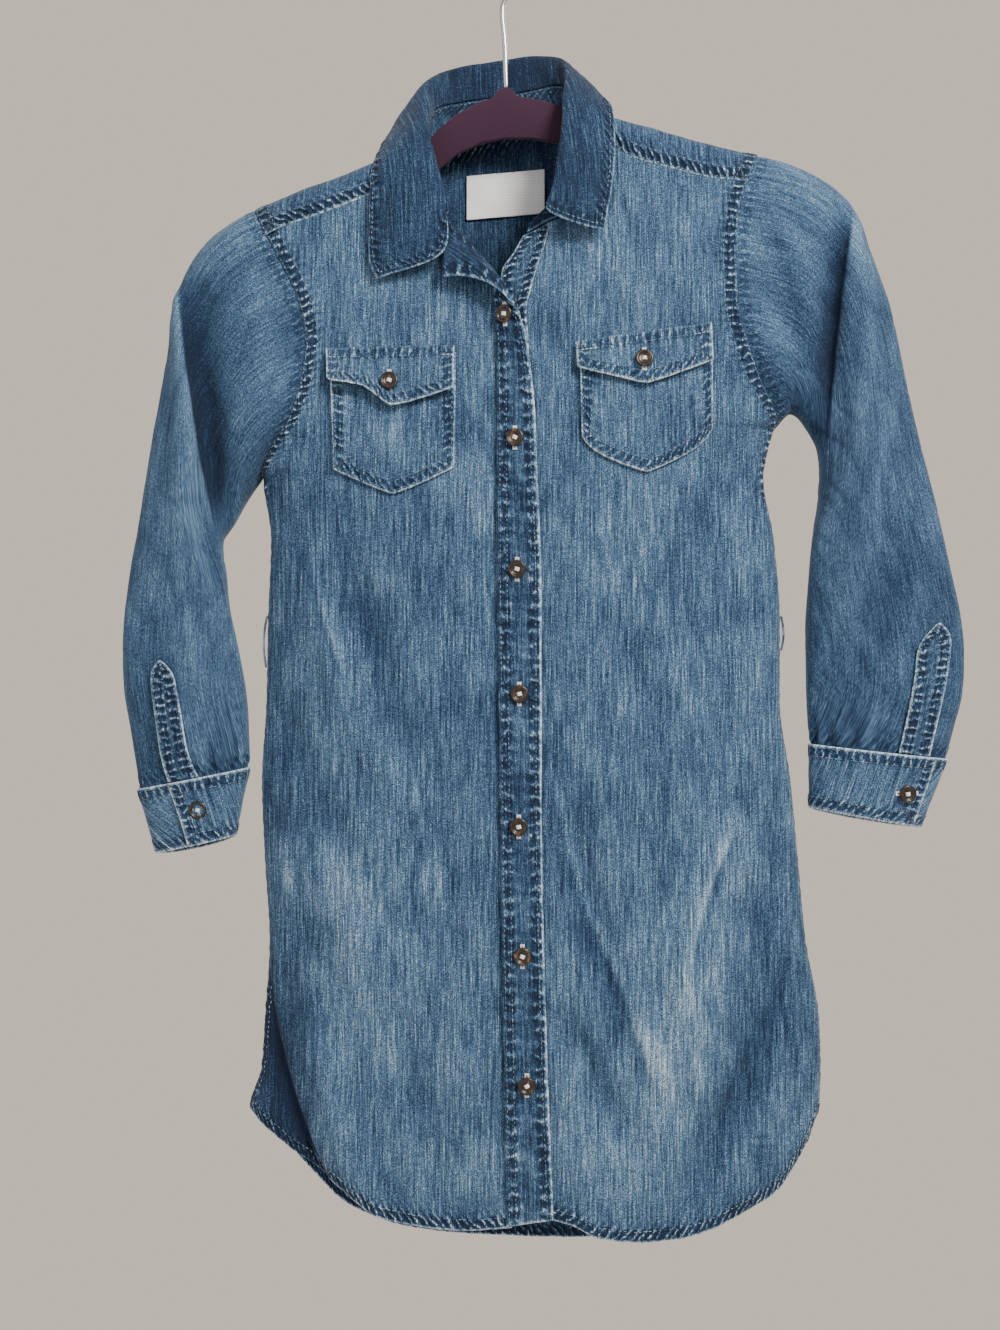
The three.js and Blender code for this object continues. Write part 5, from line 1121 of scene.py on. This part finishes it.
flapLift = cloth["lift"] + cloth["wall"] + 0.6
patchSkins = {}
for name, patch in patches.items():
    flap = "curl" in patch
    x, z, v = patchGrid(patch, 74, 38 if flap else 76)
    away = flapLift if flap else cloth["lift"]
    u = np.linspace(-1, 1, x.shape[1])[None]
    curl = patch.get("curl", 0) * v * v * (1 + (1.1 * np.exp(-(((u + 0.62) / 0.3) ** 2)) if "sway" in patch else 0))
    inner = bodyPointAt(-1, x, z, -away - curl)
    outer = bodyPointAt(-1, x, z, -away - cloth["wall"] - curl)
    lift = crumple(x, z, 11, 0.75) + (0.5 if flap else 0.3)
    # a pale faded middle, and painted shade along the top of the pocket under the flap
    fadeAndFlapShade = 0.11 * np.exp(-(((v - 0.62) / 0.26) ** 2) - (u / 0.55) ** 2) - 0.12 * (1 - smooth(v / 0.36))
    tone = washAndShadeTone(x, z) - 0.03 + (0.0 if flap else fadeAndFlapShade)
    edges = ("left", "right", "bottom", "top")
    bright = edges[:3] if flap else edges
    piece, face, normal = sewnCloth("denim_" + name, outer, inner, edges, bright, 0.6, 81, lift=lift, tone=tone,
                                    grain=(x, -z), ridge=0.2, pucker=0.35)
    declare(piece, name, outer)
    patchSkins[name] = (face, normal)
print("pockets made")

foot = np.stack([
    bodyPointAt(standStations["side"], standStations["footX"], standStations["footZ"], cloth["wall"] / 2),
    np.stack([standStations["topX"], standStations["topY"], standStations["topZ"]], -1),
])
rise = unit(foot[1] - foot[0])
foot[0] += rise * 1.9
along = spread(170, 320)
feet, tops = curveThrough(foot[0], along), curveThrough(foot[1], along)
grid = mix(feet[None], tops[None], np.linspace(0, 1, 22)[:, None, None])
one, two = wallAbout(grid, cloth["wall"])
centre = grid.mean((0, 1))
outer, inner = (one, two) if np.sum((one - two) * (grid - centre)) > 0 else (two, one)
# the stand is painted darker, as painted shade inside the collar
piece, face, normal = sewnCloth("denim_collar_stand", inner, outer, ("top", "bottom"), ("top",), 0.5, 91, ridge=0.0,
                                tone=-0.12, material=denimDeep)
declare(piece, "collar_stand", outer)
standSkin = (face, normal)

lines = np.stack([curveThrough(line, spread(190, 340)) for line in fallLines])
grid = curveThrough(lines, np.linspace(0, 1, 60))
one, two = wallAbout(grid, cloth["wall"])
outer, inner = (one, two) if one[-5, 95, 1] > two[-5, 95, 1] else (two, one)
across, down = gridLengths(grid)
lift = ripple(across, down, 93, 24) * 0.3
edge = seamField(grid, ("left", "right", "bottom"))[0]
scuffs = 0.16 * np.maximum(ripple(1.6 * across, down, 96, 11), 0) * np.exp(-edge / 14)
# darker towards the back of the neck: painted shade inside the collar
behind = smooth((grid[..., 1] - 4) / 16)
piece, face, normal = sewnCloth("denim_collar_fall", outer, inner, ("left", "right", "bottom"),
                                ("left", "right", "bottom"), 0.5, 95, lift=lift, ridge=0.1,
                                tone=scuffs - 0.17 - 0.05 * smooth((grid[..., 0] + 10) / 40) - 0.07 * behind,
                                grain=(grid[..., 0] + 0.3 * grid[..., 1], -grid[..., 2]), material=denimDeep)
declare(piece, "collar_fall", outer)
fallSkin = (face, normal)
print("collar made")

# Bare woven label.
labelShape = {"width": 52, "height": 30, "centreX": 0.5, "centreZ": -170, "tilt": 0.09, "lift": 1.4, "wall": 0.8}
material, tree, shader = newMaterial("white_woven_tape")
place = addNode(tree, "ShaderNodeTexCoord").outputs["Object"]
threads = addNode(tree, "ShaderNodeTexWave", {"bands_direction": "Z"}, {"Vector": place, "Scale": 300.0, "Distortion": 1.5})
ramp = addNode(tree, "ShaderNodeValToRGB", None, {0: threads.outputs[1]})
ramp.color_ramp.elements[0].color, ramp.color_ramp.elements[1].color = hexColour("#d3dde8"), hexColour("#eef3f8")
bump = addNode(tree, "ShaderNodeBump", None, {"Height": threads.outputs[1], "Distance": 0.0002, "Strength": 0.5})
tree.links.new(ramp.outputs[0], shader.inputs["Base Color"])
tree.links.new(bump.outputs[0], shader.inputs["Normal"])
shader.inputs["Roughness"].default_value = 0.7
labelTape = material
across = (spread(60, labelShape["width"], 0.6) - 0.5)[None] * labelShape["width"]
up = (0.5 - spread(36, labelShape["height"], 0.6))[:, None] * labelShape["height"]
base = bodyPointAt(1, labelShape["centreX"] + across, labelShape["centreZ"] + up + labelShape["tilt"] * across,
                   cloth["wall"])
outer, inner = base.copy(), base.copy()
sag = 0.5 * ripple(across, up, 97, 30)
outer[..., 1] -= labelShape["lift"] + labelShape["wall"] - sag
inner[..., 1] -= labelShape["lift"] - sag
piece = clothPiece("woven_label", outer, inner, (across + 0 * up, up + 0 * across), (99.0, 0.0, 0.0, 99.0, 0.5),
                   labelTape)
declare(piece, "neck_label", outer)
print("label made")


def tubeAlong(points, radius, sides, frontOnly=False):
    # a round tube along a line, closed by rounded ends
    points = np.asarray(points, float)
    tangent = unit(np.gradient(points, axis=0))
    up = np.array([0.0, 1.0, 0.0])
    first = unit(np.cross(tangent, up))
    second = np.cross(first, tangent)
    angle = np.linspace(0, 2 * np.pi, sides, endpoint=False)
    ring = first[:, None] * np.cos(angle)[None, :, None] + second[:, None] * np.sin(angle)[None, :, None]
    body = points[:, None] + ring * radius
    caps = []
    for at, direction in ((0, -1), (-1, 1)):
        for reach, shrink in ((0.5, 0.87), (0.87, 0.5)):
            caps.append((points[at] + direction * tangent[at] * radius * reach)[None] + ring[at] * radius * shrink)
    rings = np.concatenate([[caps[1]], [caps[0]], body, [caps[2]], [caps[3]]])
    count = len(rings)
    vertices = np.concatenate([rings.reshape(-1, 3), [points[0] - tangent[0] * radius, points[-1] + tangent[-1] * radius]])
    faces = quadsOf(count, sides, 0, True, False).tolist()
    ends = count * sides
    for k in range(sides):
        n = (k + 1) % sides
        faces.append([ends, n, k])
        faces.append([ends + 1, (count - 1) * sides + k, (count - 1) * sides + n])
    return vertices, faces


def signedVolume(vertices, faces):
    total = 0.0
    for face in faces:
        a = vertices[face[0]]
        for k in range(1, len(face) - 1):
            total += float(np.dot(a, np.cross(vertices[face[k]], vertices[face[k + 1]])))
    return total


def tubePiece(name, points, radius, sides, material):
    vertices, faces = tubeAlong(points, radius, sides)
    if signedVolume(vertices, faces) < 0:
        faces = [face[::-1] for face in faces]
    return meshFrom(name, vertices, faces, material)


# Threads: pale blue topstitching, and the same thread for the loops.
material, tree, shader = newMaterial("pale_cotton_thread")
place = addNode(tree, "ShaderNodeTexCoord").outputs["Object"]
noise = addNode(tree, "ShaderNodeTexNoise", None, {"Vector": place, "Scale": 160.0, "Detail": 2.0})
ramp = addNode(tree, "ShaderNodeValToRGB", None, {0: noise.outputs[0]})
ramp.color_ramp.elements[0].position, ramp.color_ramp.elements[1].position = 0.35, 0.68
ramp.color_ramp.elements[0].color, ramp.color_ramp.elements[1].color = hexColour("#2a4361"), hexColour("#87a2bc")
tree.links.new(ramp.outputs[0], shader.inputs["Base Color"])
shader.inputs["Roughness"].default_value = 0.75
thread = material

# White button thread, a little glossier.
material, tree, shader = newMaterial("white_button_thread")
place = addNode(tree, "ShaderNodeTexCoord").outputs["Object"]
noise = addNode(tree, "ShaderNodeTexNoise", None, {"Vector": place, "Scale": 900.0, "Detail": 2.0})
ramp = addNode(tree, "ShaderNodeValToRGB", None, {0: noise.outputs[0]})
ramp.color_ramp.elements[0].color, ramp.color_ramp.elements[1].color = hexColour("#c9cdd2"), hexColour("#fbfaf6")
tree.links.new(ramp.outputs[0], shader.inputs["Base Color"])
shader.inputs["Roughness"].default_value = 0.55
whiteThread = material

for name, side, edge, topZ, bottomZ in (("right", -1, lowSide, -454, -487), ("left", 1, highSide, -454, -476)):
    t = np.linspace(0, 1, 40)
    z = mix(topZ, bottomZ, t)
    points = np.stack([edge(z) + side * (1.3 + 1.6 * np.sin(np.pi * t)), 0 * t, z], -1)
    strands = []
    for k in range(3):
        angle = t * 2 * np.pi * 5 + k * 2 * np.pi / 3
        strand = points + 0.42 * np.stack([np.cos(angle), np.sin(angle), 0 * t], -1)
        strands.append(tubeAlong(strand, 0.42, 8))
    vertices = np.concatenate([v for v, _ in strands])
    step = len(strands[0][0])
    faces = [[i + k * step for i in face] for k, (_, part) in enumerate(strands) for face in part]
    if signedVolume(vertices, faces) < 0:
        faces = [face[::-1] for face in faces]
    piece = meshFrom("thread_belt_loop_" + name, vertices, faces, thread)
    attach(piece, "root")
    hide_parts("belt_loop_" + name)
print("loops made")

# Hanger: flocked in plum, with a plated wire hook.
hanger = {"thickness": 4.4, "bevel": 0.9, "wire": 3.3, "hookRadius": 19}
material, tree, shader = newMaterial("plum_flocking")
place = addNode(tree, "ShaderNodeTexCoord").outputs["Object"]
noise = addNode(tree, "ShaderNodeTexNoise", None, {"Vector": place, "Scale": 900.0, "Detail": 3.0})
ramp = addNode(tree, "ShaderNodeValToRGB", None, {0: noise.outputs[0]})
ramp.color_ramp.elements[0].color, ramp.color_ramp.elements[1].color = hexColour("#200b21"), hexColour("#391936")
bump = addNode(tree, "ShaderNodeBump", None, {"Height": noise.outputs[0], "Distance": 0.0004, "Strength": 0.8})
tree.links.new(ramp.outputs[0], shader.inputs["Base Color"])
tree.links.new(bump.outputs[0], shader.inputs["Normal"])
shader.inputs["Roughness"].default_value = 0.95
shader.inputs["Sheen Weight"].default_value = 0.25
shader.inputs["Sheen Tint"].default_value = hexColour("#a98fb0")
flock = material
outline = np.array(hangerUpper + hangerLower, float)
closed = np.concatenate([outline, outline[:1]])
inward = unit(np.roll(outline, -1, 0) - np.roll(outline, 1, 0))[:, ::-1] * np.array([1, -1])
half, bevel = hanger["thickness"] / 2, hanger["bevel"]
rings = []
for y, pull in ((-half, bevel), (-half + bevel * 0.3, bevel * 0.3), (-half + bevel, 0), (half - bevel, 0),
                (half - bevel * 0.3, bevel * 0.3), (half, bevel)):
    flat = outline + inward * pull
    rings.append(np.stack([flat[:, 0], np.full(len(flat), y), flat[:, 1]], -1))
count = len(outline)
faces = quadsOf(len(rings), count, 0, True, False).tolist()
faces += [list(range(count))[::-1], list(range((len(rings) - 1) * count, len(rings) * count))]
vertices = np.concatenate(rings)
if signedVolume(vertices, faces) < 0:
    faces = [face[::-1] for face in faces]
piece = meshFrom("flocked_hanger", vertices, faces, flock)
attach(piece, "root")
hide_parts("hanger_body")

material, tree, shader = newMaterial("chrome_plated_wire")
shader.inputs["Base Color"].default_value = hexColour("#b9bcc0")
shader.inputs["Metallic"].default_value = 1.0
place = addNode(tree, "ShaderNodeTexCoord").outputs["Object"]
noise = addNode(tree, "ShaderNodeTexNoise", None, {"Vector": place, "Scale": 240.0, "Detail": 2.0})
ramp = addNode(tree, "ShaderNodeMapRange", None, {"Value": noise.outputs[0], "To Min": 0.16, "To Max": 0.3})
tree.links.new(ramp.outputs[0], shader.inputs["Roughness"])
chrome = material
radius = hanger["hookRadius"] + hanger["wire"] / 2
wire = [(0.7, -104.2), (-0.2, -76), (-1.3, -50), (4, -42.5), (11.5, -37)]
for degrees in np.arange(-35, 210.1, 24.5):
    wire.append((radius * math.cos(math.radians(degrees)), radius * math.sin(math.radians(degrees)) - 19))
wire = np.array(wire)
piece = tubePiece("plated_hook", curveThrough(np.stack([wire[:, 0], 0 * wire[:, 0], wire[:, 1]], -1),
                                              np.linspace(0, 1, 200)), hanger["wire"] / 2, 18, chrome)
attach(piece, "root")
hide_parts("hanger_hook")
print("hanger made")

# Buttons: turned horn with a dished face, sewn with pale thread across it; the four holes are not cut.
button = {"radius": 5.8, "thickness": 2.6, "dish": 1.1, "hole": 0.75, "holeOut": 1.25}
material, tree, shader = newMaterial("dark_brown_horn")
place = addNode(tree, "ShaderNodeTexCoord").outputs["Object"]
stretch = addNode(tree, "ShaderNodeMapping", None, {"Vector": place, "Scale": (1, 1, 0.45)})
noise = addNode(tree, "ShaderNodeTexNoise", None,
                {"Vector": stretch.outputs[0], "Scale": 330.0, "Detail": 3.0, "Distortion": 0.8})
ramp = addNode(tree, "ShaderNodeValToRGB", None, {0: noise.outputs[0]})
stops = ramp.color_ramp.elements
stops.new(0.5)
for stop, place, colour in zip(stops, (0.4, 0.58, 0.76), ("#0e0907", "#241812", "#6e563e")):
    stop.position, stop.color = place, hexColour(colour)
tree.links.new(ramp.outputs[0], shader.inputs["Base Color"])
shader.inputs["Roughness"].default_value = 0.34
shader.inputs["Coat Weight"].default_value = 0.25
horn = material


def stripSpot(x, z):
    # the strip's middle surface at a place seen from the front, and its outward direction
    face, normal = topStrip
    away = np.hypot(face[..., 0] - x, face[..., 2] - z)
    j, i = np.unravel_index(np.argmin(away), away.shape)
    outward = normal[max(j - 3, 0):j + 4, max(i - 3, 0):i + 4].mean((0, 1))
    outward = unit(outward if outward[1] < 0 else -outward)
    return face[j, i], outward


def skinSpot(skin, x, z):
    face, normal = skin
    away = np.hypot(face[..., 0] - x, face[..., 2] - z) + np.where(face[..., 1] > 0, 50, 0)
    j, i = np.unravel_index(np.argmin(away), away.shape)
    outward = normal[max(j - 3, 0):j + 4, max(i - 3, 0):i + 4].mean((0, 1))
    return face[j, i], unit(outward if outward[1] < 0 else -outward)


buttonSpots = {}
for k, (x, z) in enumerate(frontButtons):
    buttonSpots["button_front_" + str(k + 1)] = stripSpot(x, z)
for name in ("right", "left"):
    patch = patches["pocket_flap_" + name]
    buttonSpots["button_pocket_" + name] = skinSpot(patchSkins["pocket_flap_" + name], *patch["button"])
    cuff = cuffShapes[name]
    turn, down = cuff["button"]
    spot = cuffPoint(cuff, turn, down, cuffOutset(0) + cloth["wall"])
    buttonSpots["button_cuff_" + name] = skinSpot(cuffSkins[name], spot[0], spot[2])

profile = [(0, 0.0), (3.4, 0.0), (4.9, 0.35), (5.6, 0.95), (5.8, 1.5), (5.65, 2.15), (5.2, 2.55), (4.7, 2.6),
           (4.2, 2.4), (3.75, 1.85), (3.3, 1.55), (2.4, 1.42), (0, 1.4)]


def buttonParts(spot, outward, turn):
    side = unit(np.cross(outward, [0, 0, 1.0]))
    up = np.cross(side, outward)
    side, up = side * math.cos(turn) + up * math.sin(turn), up * math.cos(turn) - side * math.sin(turn)
    base = spot + outward * 0.6
    angle = np.linspace(0, 2 * np.pi, 40, endpoint=False)
    ring = side * np.cos(angle)[:, None] + up * np.sin(angle)[:, None]
    vertices = [base]
    faces = []
    for r, h in profile[1:-1]:
        vertices.extend(base + ring * r + outward * h)
    vertices.append(base + outward * profile[-1][1])
    count = len(profile) - 2
    for k in range(40):
        n = (k + 1) % 40
        faces.append([0, 1 + n, 1 + k])
        faces.append([1 + (count - 1) * 40 + k, 1 + (count - 1) * 40 + n, 1 + count * 40])
    faces += (quadsOf(count, 40, 1, True, False)).tolist()
    return np.array(vertices), faces, side, up, base


rng = np.random.default_rng(7)
for name, (spot, outward) in buttonSpots.items():
    vertices, faces, side, up, base = buttonParts(spot, outward, rng.uniform(-0.5, 0.5))
    if signedVolume(vertices - spot, faces) < 0:
        faces = [face[::-1] for face in faces]
    piece = meshFrom("horn_" + name, vertices, faces, horn)
    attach(piece, "root")
    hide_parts(name)
    strands = []
    for row in (-1, 1):
        for k in (-0.5, 0.5):
            t = np.linspace(-1, 1, 9)[:, None]
            arc = base + up * (row * 0.6 + k * 0.5) + side * t * 1.25 + outward * (1.5 + 0.9 * (1 - t * t) ** 0.5)
            strands.append(tubeAlong(arc, 0.42, 6))
    step = len(strands[0][0])
    vertices = np.concatenate([v for v, _ in strands])
    faces = [[i + k * step for i in face] for k, (_, part) in enumerate(strands) for face in part]
    if signedVolume(vertices - spot, faces) < 0:
        faces = [face[::-1] for face in faces]
    piece = meshFrom("thread_" + name, vertices, faces, whiteThread)
    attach(piece, "root")
print("buttons made")

# Sewing. Rows of stitches are points with a run and a rise, and one node tree sets a stitch on each.
def sewingTree():
    tree = bpy.data.node_groups.new("sewing", "GeometryNodeTree")
    interface = tree.interface
    interface.new_socket("Points", in_out="INPUT", socket_type="NodeSocketGeometry")
    interface.new_socket("Thickness", in_out="INPUT", socket_type="NodeSocketFloat")
    interface.new_socket("Thread", in_out="INPUT", socket_type="NodeSocketMaterial")
    interface.new_socket("Stitches", in_out="OUTPUT", socket_type="NodeSocketGeometry")
    given = addNode(tree, "NodeGroupInput").outputs
    vector = {"data_type": "FLOAT_VECTOR"}
    run = addNode(tree, "GeometryNodeInputNamedAttribute", vector, {"Name": "run"}).outputs[0]
    rise = addNode(tree, "GeometryNodeInputNamedAttribute", vector, {"Name": "rise"}).outputs[0]
    length = addNode(tree, "ShaderNodeVectorMath", {"operation": "LENGTH"}, {0: run}).outputs["Value"]
    along = addNode(tree, "FunctionNodeAlignRotationToVector", {"axis": "X"}, {"Vector": run}).outputs[0]
    turned = addNode(tree, "FunctionNodeAlignRotationToVector", {"axis": "Z", "pivot_axis": "X"},
                     {"Rotation": along, "Vector": rise}).outputs[0]
    size = addNode(tree, "ShaderNodeCombineXYZ", None, {0: length, 1: given["Thickness"], 2: given["Thickness"]})
    form = addNode(tree, "GeometryNodeMeshUVSphere", None, {"Segments": 6, "Rings": 3, "Radius": 0.5})
    placed = addNode(tree, "GeometryNodeInstanceOnPoints", None, {
        "Points": given["Points"], "Instance": form.outputs[0], "Rotation": turned, "Scale": size.outputs[0],
    })
    real = addNode(tree, "GeometryNodeRealizeInstances", None, {0: placed.outputs[0]})
    round_ = addNode(tree, "GeometryNodeSetShadeSmooth", None, {"Geometry": real.outputs[0]})
    dyed = addNode(tree, "GeometryNodeSetMaterial", None, {"Geometry": round_.outputs[0], "Material": given["Thread"]})
    addNode(tree, "NodeGroupOutput", None, {0: dyed.outputs[0]})
    return tree


sewing = sewingTree()


def stitchPiece(name, centres, runs, rises, thickness, material):
    mesh = bpy.data.meshes.new(name + "_points")
    mesh.from_pydata((centres * mm).tolist(), [], [])
    for key, values in (("run", runs * mm), ("rise", rises)):
        mesh.attributes.new(key, "FLOAT_VECTOR", "POINT").data.foreach_set("vector", values.ravel())
    points = bpy.data.objects.new(name + "_points", mesh)
    scene.collection.objects.link(points)
    modifier = points.modifiers.new("sewing", "NODES")
    modifier.node_group = sewing
    for socket in sewing.interface.items_tree:
        if socket.in_out == "INPUT" and socket.name == "Thickness":
            modifier[socket.identifier] = thickness * mm
        if socket.in_out == "INPUT" and socket.name == "Thread":
            modifier[socket.identifier] = material
    graph = bpy.context.evaluated_depsgraph_get()
    final = bpy.data.meshes.new_from_object(points.evaluated_get(graph), depsgraph=graph)
    bpy.data.objects.remove(points)
    piece = bpy.data.objects.new(name, final)
    scene.collection.objects.link(piece)
    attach(piece, "root")
    print("stitches", name, len(centres), sum(len(p.vertices) - 2 for p in final.polygons))
    return piece


def seamRow(skin, edge, distance, trim=(0, 0)):
    # points and normals along a line that keeps its distance from one edge of a panel
    face, normal = skin
    across, down = gridLengths(face)
    if edge in ("top", "bottom"):
        face, normal, across = face.transpose(1, 0, 2), normal.transpose(1, 0, 2), down.T
    if edge in ("right", "bottom"):
        face, normal = face[:, ::-1], normal[:, ::-1]
        across = (across[:, -1:] - across)[:, ::-1]
    rows = np.arange(len(face))
    place = np.array([np.interp(distance, across[j], np.arange(across.shape[1])) for j in rows])
    i = np.minimum(place.astype(int), across.shape[1] - 2)
    t = (place - i)[:, None]
    points = mix(face[rows, i], face[rows, i + 1], t)
    normals = unit(mix(normal[rows, i], normal[rows, i + 1], t))
    steps = np.concatenate([[0], np.cumsum(np.linalg.norm(np.diff(points, axis=0), axis=-1))])
    kept = (steps >= trim[0]) & (steps <= steps[-1] - trim[1])
    return points[kept], normals[kept]


stitching = {"pitch": 3.3, "length": 2.5, "thickness": 0.62, "stand": 0.16}
stitchRng = np.random.default_rng(5)
sewn = {"body": [], "sleeves": [], "details": [], "buttonholes": []}


def sew(group, skin, edge, distances, trim=(0, 0), pitch=None):
    pitch = pitch or stitching["pitch"]
    for distance in distances:
        points, normals = seamRow(skin, edge, distance, trim)
        if len(points) < 2:
            continue
        steps = np.concatenate([[0], np.cumsum(np.linalg.norm(np.diff(points, axis=0), axis=-1))])
        at = np.arange(pitch / 2, steps[-1], pitch)
        at = at + stitchRng.uniform(-0.25, 0.25, len(at))
        centre = np.stack([np.interp(at, steps, points[:, k]) for k in range(3)], -1)
        rise = unit(np.stack([np.interp(at, steps, normals[:, k]) for k in range(3)], -1))
        ahead = np.stack([np.interp(at + 1, steps, points[:, k]) - np.interp(at - 1, steps, points[:, k])
                          for k in range(3)], -1)
        run = unit(ahead) * (pitch - stitching["pitch"] + stitching["length"])
        sewn[group].append((centre + rise * stitching["stand"], run, rise))


def satin(group, spot, direction, across, outward, length, width, pitch=0.55):
    # dense stitches side by side, as on a bar tack or a buttonhole
    steps = np.arange(-length / 2, length / 2 + 0.01, pitch)
    centre = spot + direction * steps[:, None] + outward * 0.25
    run = np.repeat(across[None] * width, len(steps), 0)
    sewn[group].append((centre, run, np.repeat(outward[None], len(steps), 0)))


armholeRows = 84
for name, (face, normal) in fronts.items():
    sew("body", (face[:armholeRows], normal[:armholeRows]), "left", (1.3, 8.6))
    sew("body", (face, normal), "bottom", (6.8,))
face, normal = fronts["right"]
low = face[:, 0, 2] < -694
sew("body", (face[low], normal[low]), "left", (2.4, 8.2), (0, 7))
sew("body", backPanel, "bottom", (6.8,))
for edge in ("left", "right"):
    sew("body", yokePanel, edge, (1.3, 8.6))
sew("body", yokePanel, "top", (1.3, 8.6))
lastFront, firstLeft = 44, 104
sew("body", (yokePanel[0][:, :lastFront], yokePanel[1][:, :lastFront]), "bottom", (1.3, 8.6))
sew("body", (yokePanel[0][:, firstLeft:], yokePanel[1][:, firstLeft:]), "bottom", (1.3, 8.6))
sew("details", topStrip, "left", (1.7, 6.0))
sew("details", topStrip, "right", (3.4,))
sew("details", underStrip, "left", (1.6,))
sew("details", underStrip, "right", (1.6, 6.5))
for edge in ("left", "right", "bottom"):
    sew("details", fallSkin, edge, (3.2,), (2, 2))
sew("details", standSkin, "top", (1.8,))
sew("details", standSkin, "bottom", (1.6,))
for name in ("right", "left"):
    pocket, flap = patchSkins["pocket_" + name], patchSkins["pocket_flap_" + name]
    for edge in ("left", "right", "bottom"):
        sew("details", pocket, edge, (1.8,), (1.5, 1.5))
        sew("details", pocket, edge, (8.0,), (7, 7))
        sew("details", flap, edge, (1.6,), (1.5, 1.5))
    sew("details", flap, "bottom", (7.6,), (6, 6))
    sew("details", flap, "left", (7.6,), (6.5, 6.5))
    sew("details", flap, "right", (7.6,), (6.5, 6.5))
    sew("details", flap, "top", (6.2,), (1, 1), 2.7)
    sew("buttonholes", flap, "top", (6.0,), (0.5, 75), 2.7)
    sew("buttonholes", flap, "top", (6.0,), (75, 0.5), 2.7)
    sew("details", pocket, "top", (9.0,), (1, 1))
    cuff = cuffSkins[name]
    sew("sleeves", cuff, "top", (1.6, 7.4), (1, 1))
    sew("sleeves", cuff, "bottom", (1.6, 7.4), (1, 1))
    sew("sleeves", cuff, "left", (1.6, 7.4), (2, 2))
    tower = sleeveSkins["placket_" + name]
    sew("sleeves", tower, "left", (1.5,))
    sew("sleeves", tower, "right", (1.5,))
    sew("sleeves", tower, "top", (12.0, 18.0))
for name, (spot, outward) in buttonSpots.items():
    across = unit(np.cross(outward, [0, 0, 1.0]))
    up = np.cross(across, outward)
    way, other = (across, up) if "cuff" in name else (up, across)
    for sign in (-1, 1):
        satin("buttonholes", spot + other * sign * 0.9, way, other, outward, 15, 1.5)
    for sign in (-1, 1):
        satin("buttonholes", spot + way * sign * 7.0, other, way, outward, 2.2, 2.2)
for group, rows in sewn.items():
    centres, runs, rises = (np.concatenate([row[k] for row in rows]) for k in range(3))
    stitchPiece("stitches_" + group, centres, runs, rises, stitching["thickness"],
                whiteThread if group == "buttonholes" else thread)
print("sewing done")

# Studio: camera level with the dress, a soft key from the front right and a pale room.
camera = bpy.data.cameras.new("camera")
camera.sensor_fit = "VERTICAL"
camera.sensor_height = 24
camera.lens = 12 / (studio["frameHeight"] / 2 / -studio["cameraPlace"][1])
view = bpy.data.objects.new("camera", camera)
view.location = studio["cameraPlace"]
view.rotation_euler = (math.pi / 2, 0, 0)
scene.collection.objects.link(view)
scene.camera = view
target = Vector((0, 0, -0.45))
for name, place, size, power, tint in (
    ("key", studio["keyPlace"], studio["keySize"], studio["keyPower"], "#fff6ec"),
    ("fill", studio["fillPlace"], 1.6, studio["fillPower"], "#e9f0ff"),
    ("rim", studio["rimPlace"], 1.2, studio["rimPower"], "#ffffff"),
):
    light = bpy.data.lights.new(name, "AREA")
    light.shape, light.size, light.energy, light.color = "SQUARE", size, power, hexColour(tint)[:3]
    lamp = bpy.data.objects.new(name, light)
    lamp.location = place
    lamp.rotation_euler = (target - Vector(place)).to_track_quat("-Z", "Y").to_euler()
    scene.collection.objects.link(lamp)
world = bpy.data.worlds.new("pale room")
scene.world = world
world.use_nodes = True
background = world.node_tree.nodes["Background"]
background.inputs[0].default_value = hexColour(studio["paper"])
background.inputs[1].default_value = studio["paperStrength"]

material, tree, shader = newMaterial("pale_painted_floor")
shader.inputs["Base Color"].default_value = hexColour("#d9d4cc")
shader.inputs["Roughness"].default_value = 0.8
height = studio["floorHeight"] / mm
half = 700
floor = meshFrom("floor", [(-half, -half, height), (half, -half, height), (half, half, height), (-half, half, height)],
                 [[0, 1, 2, 3]], material)
print("studio lit")
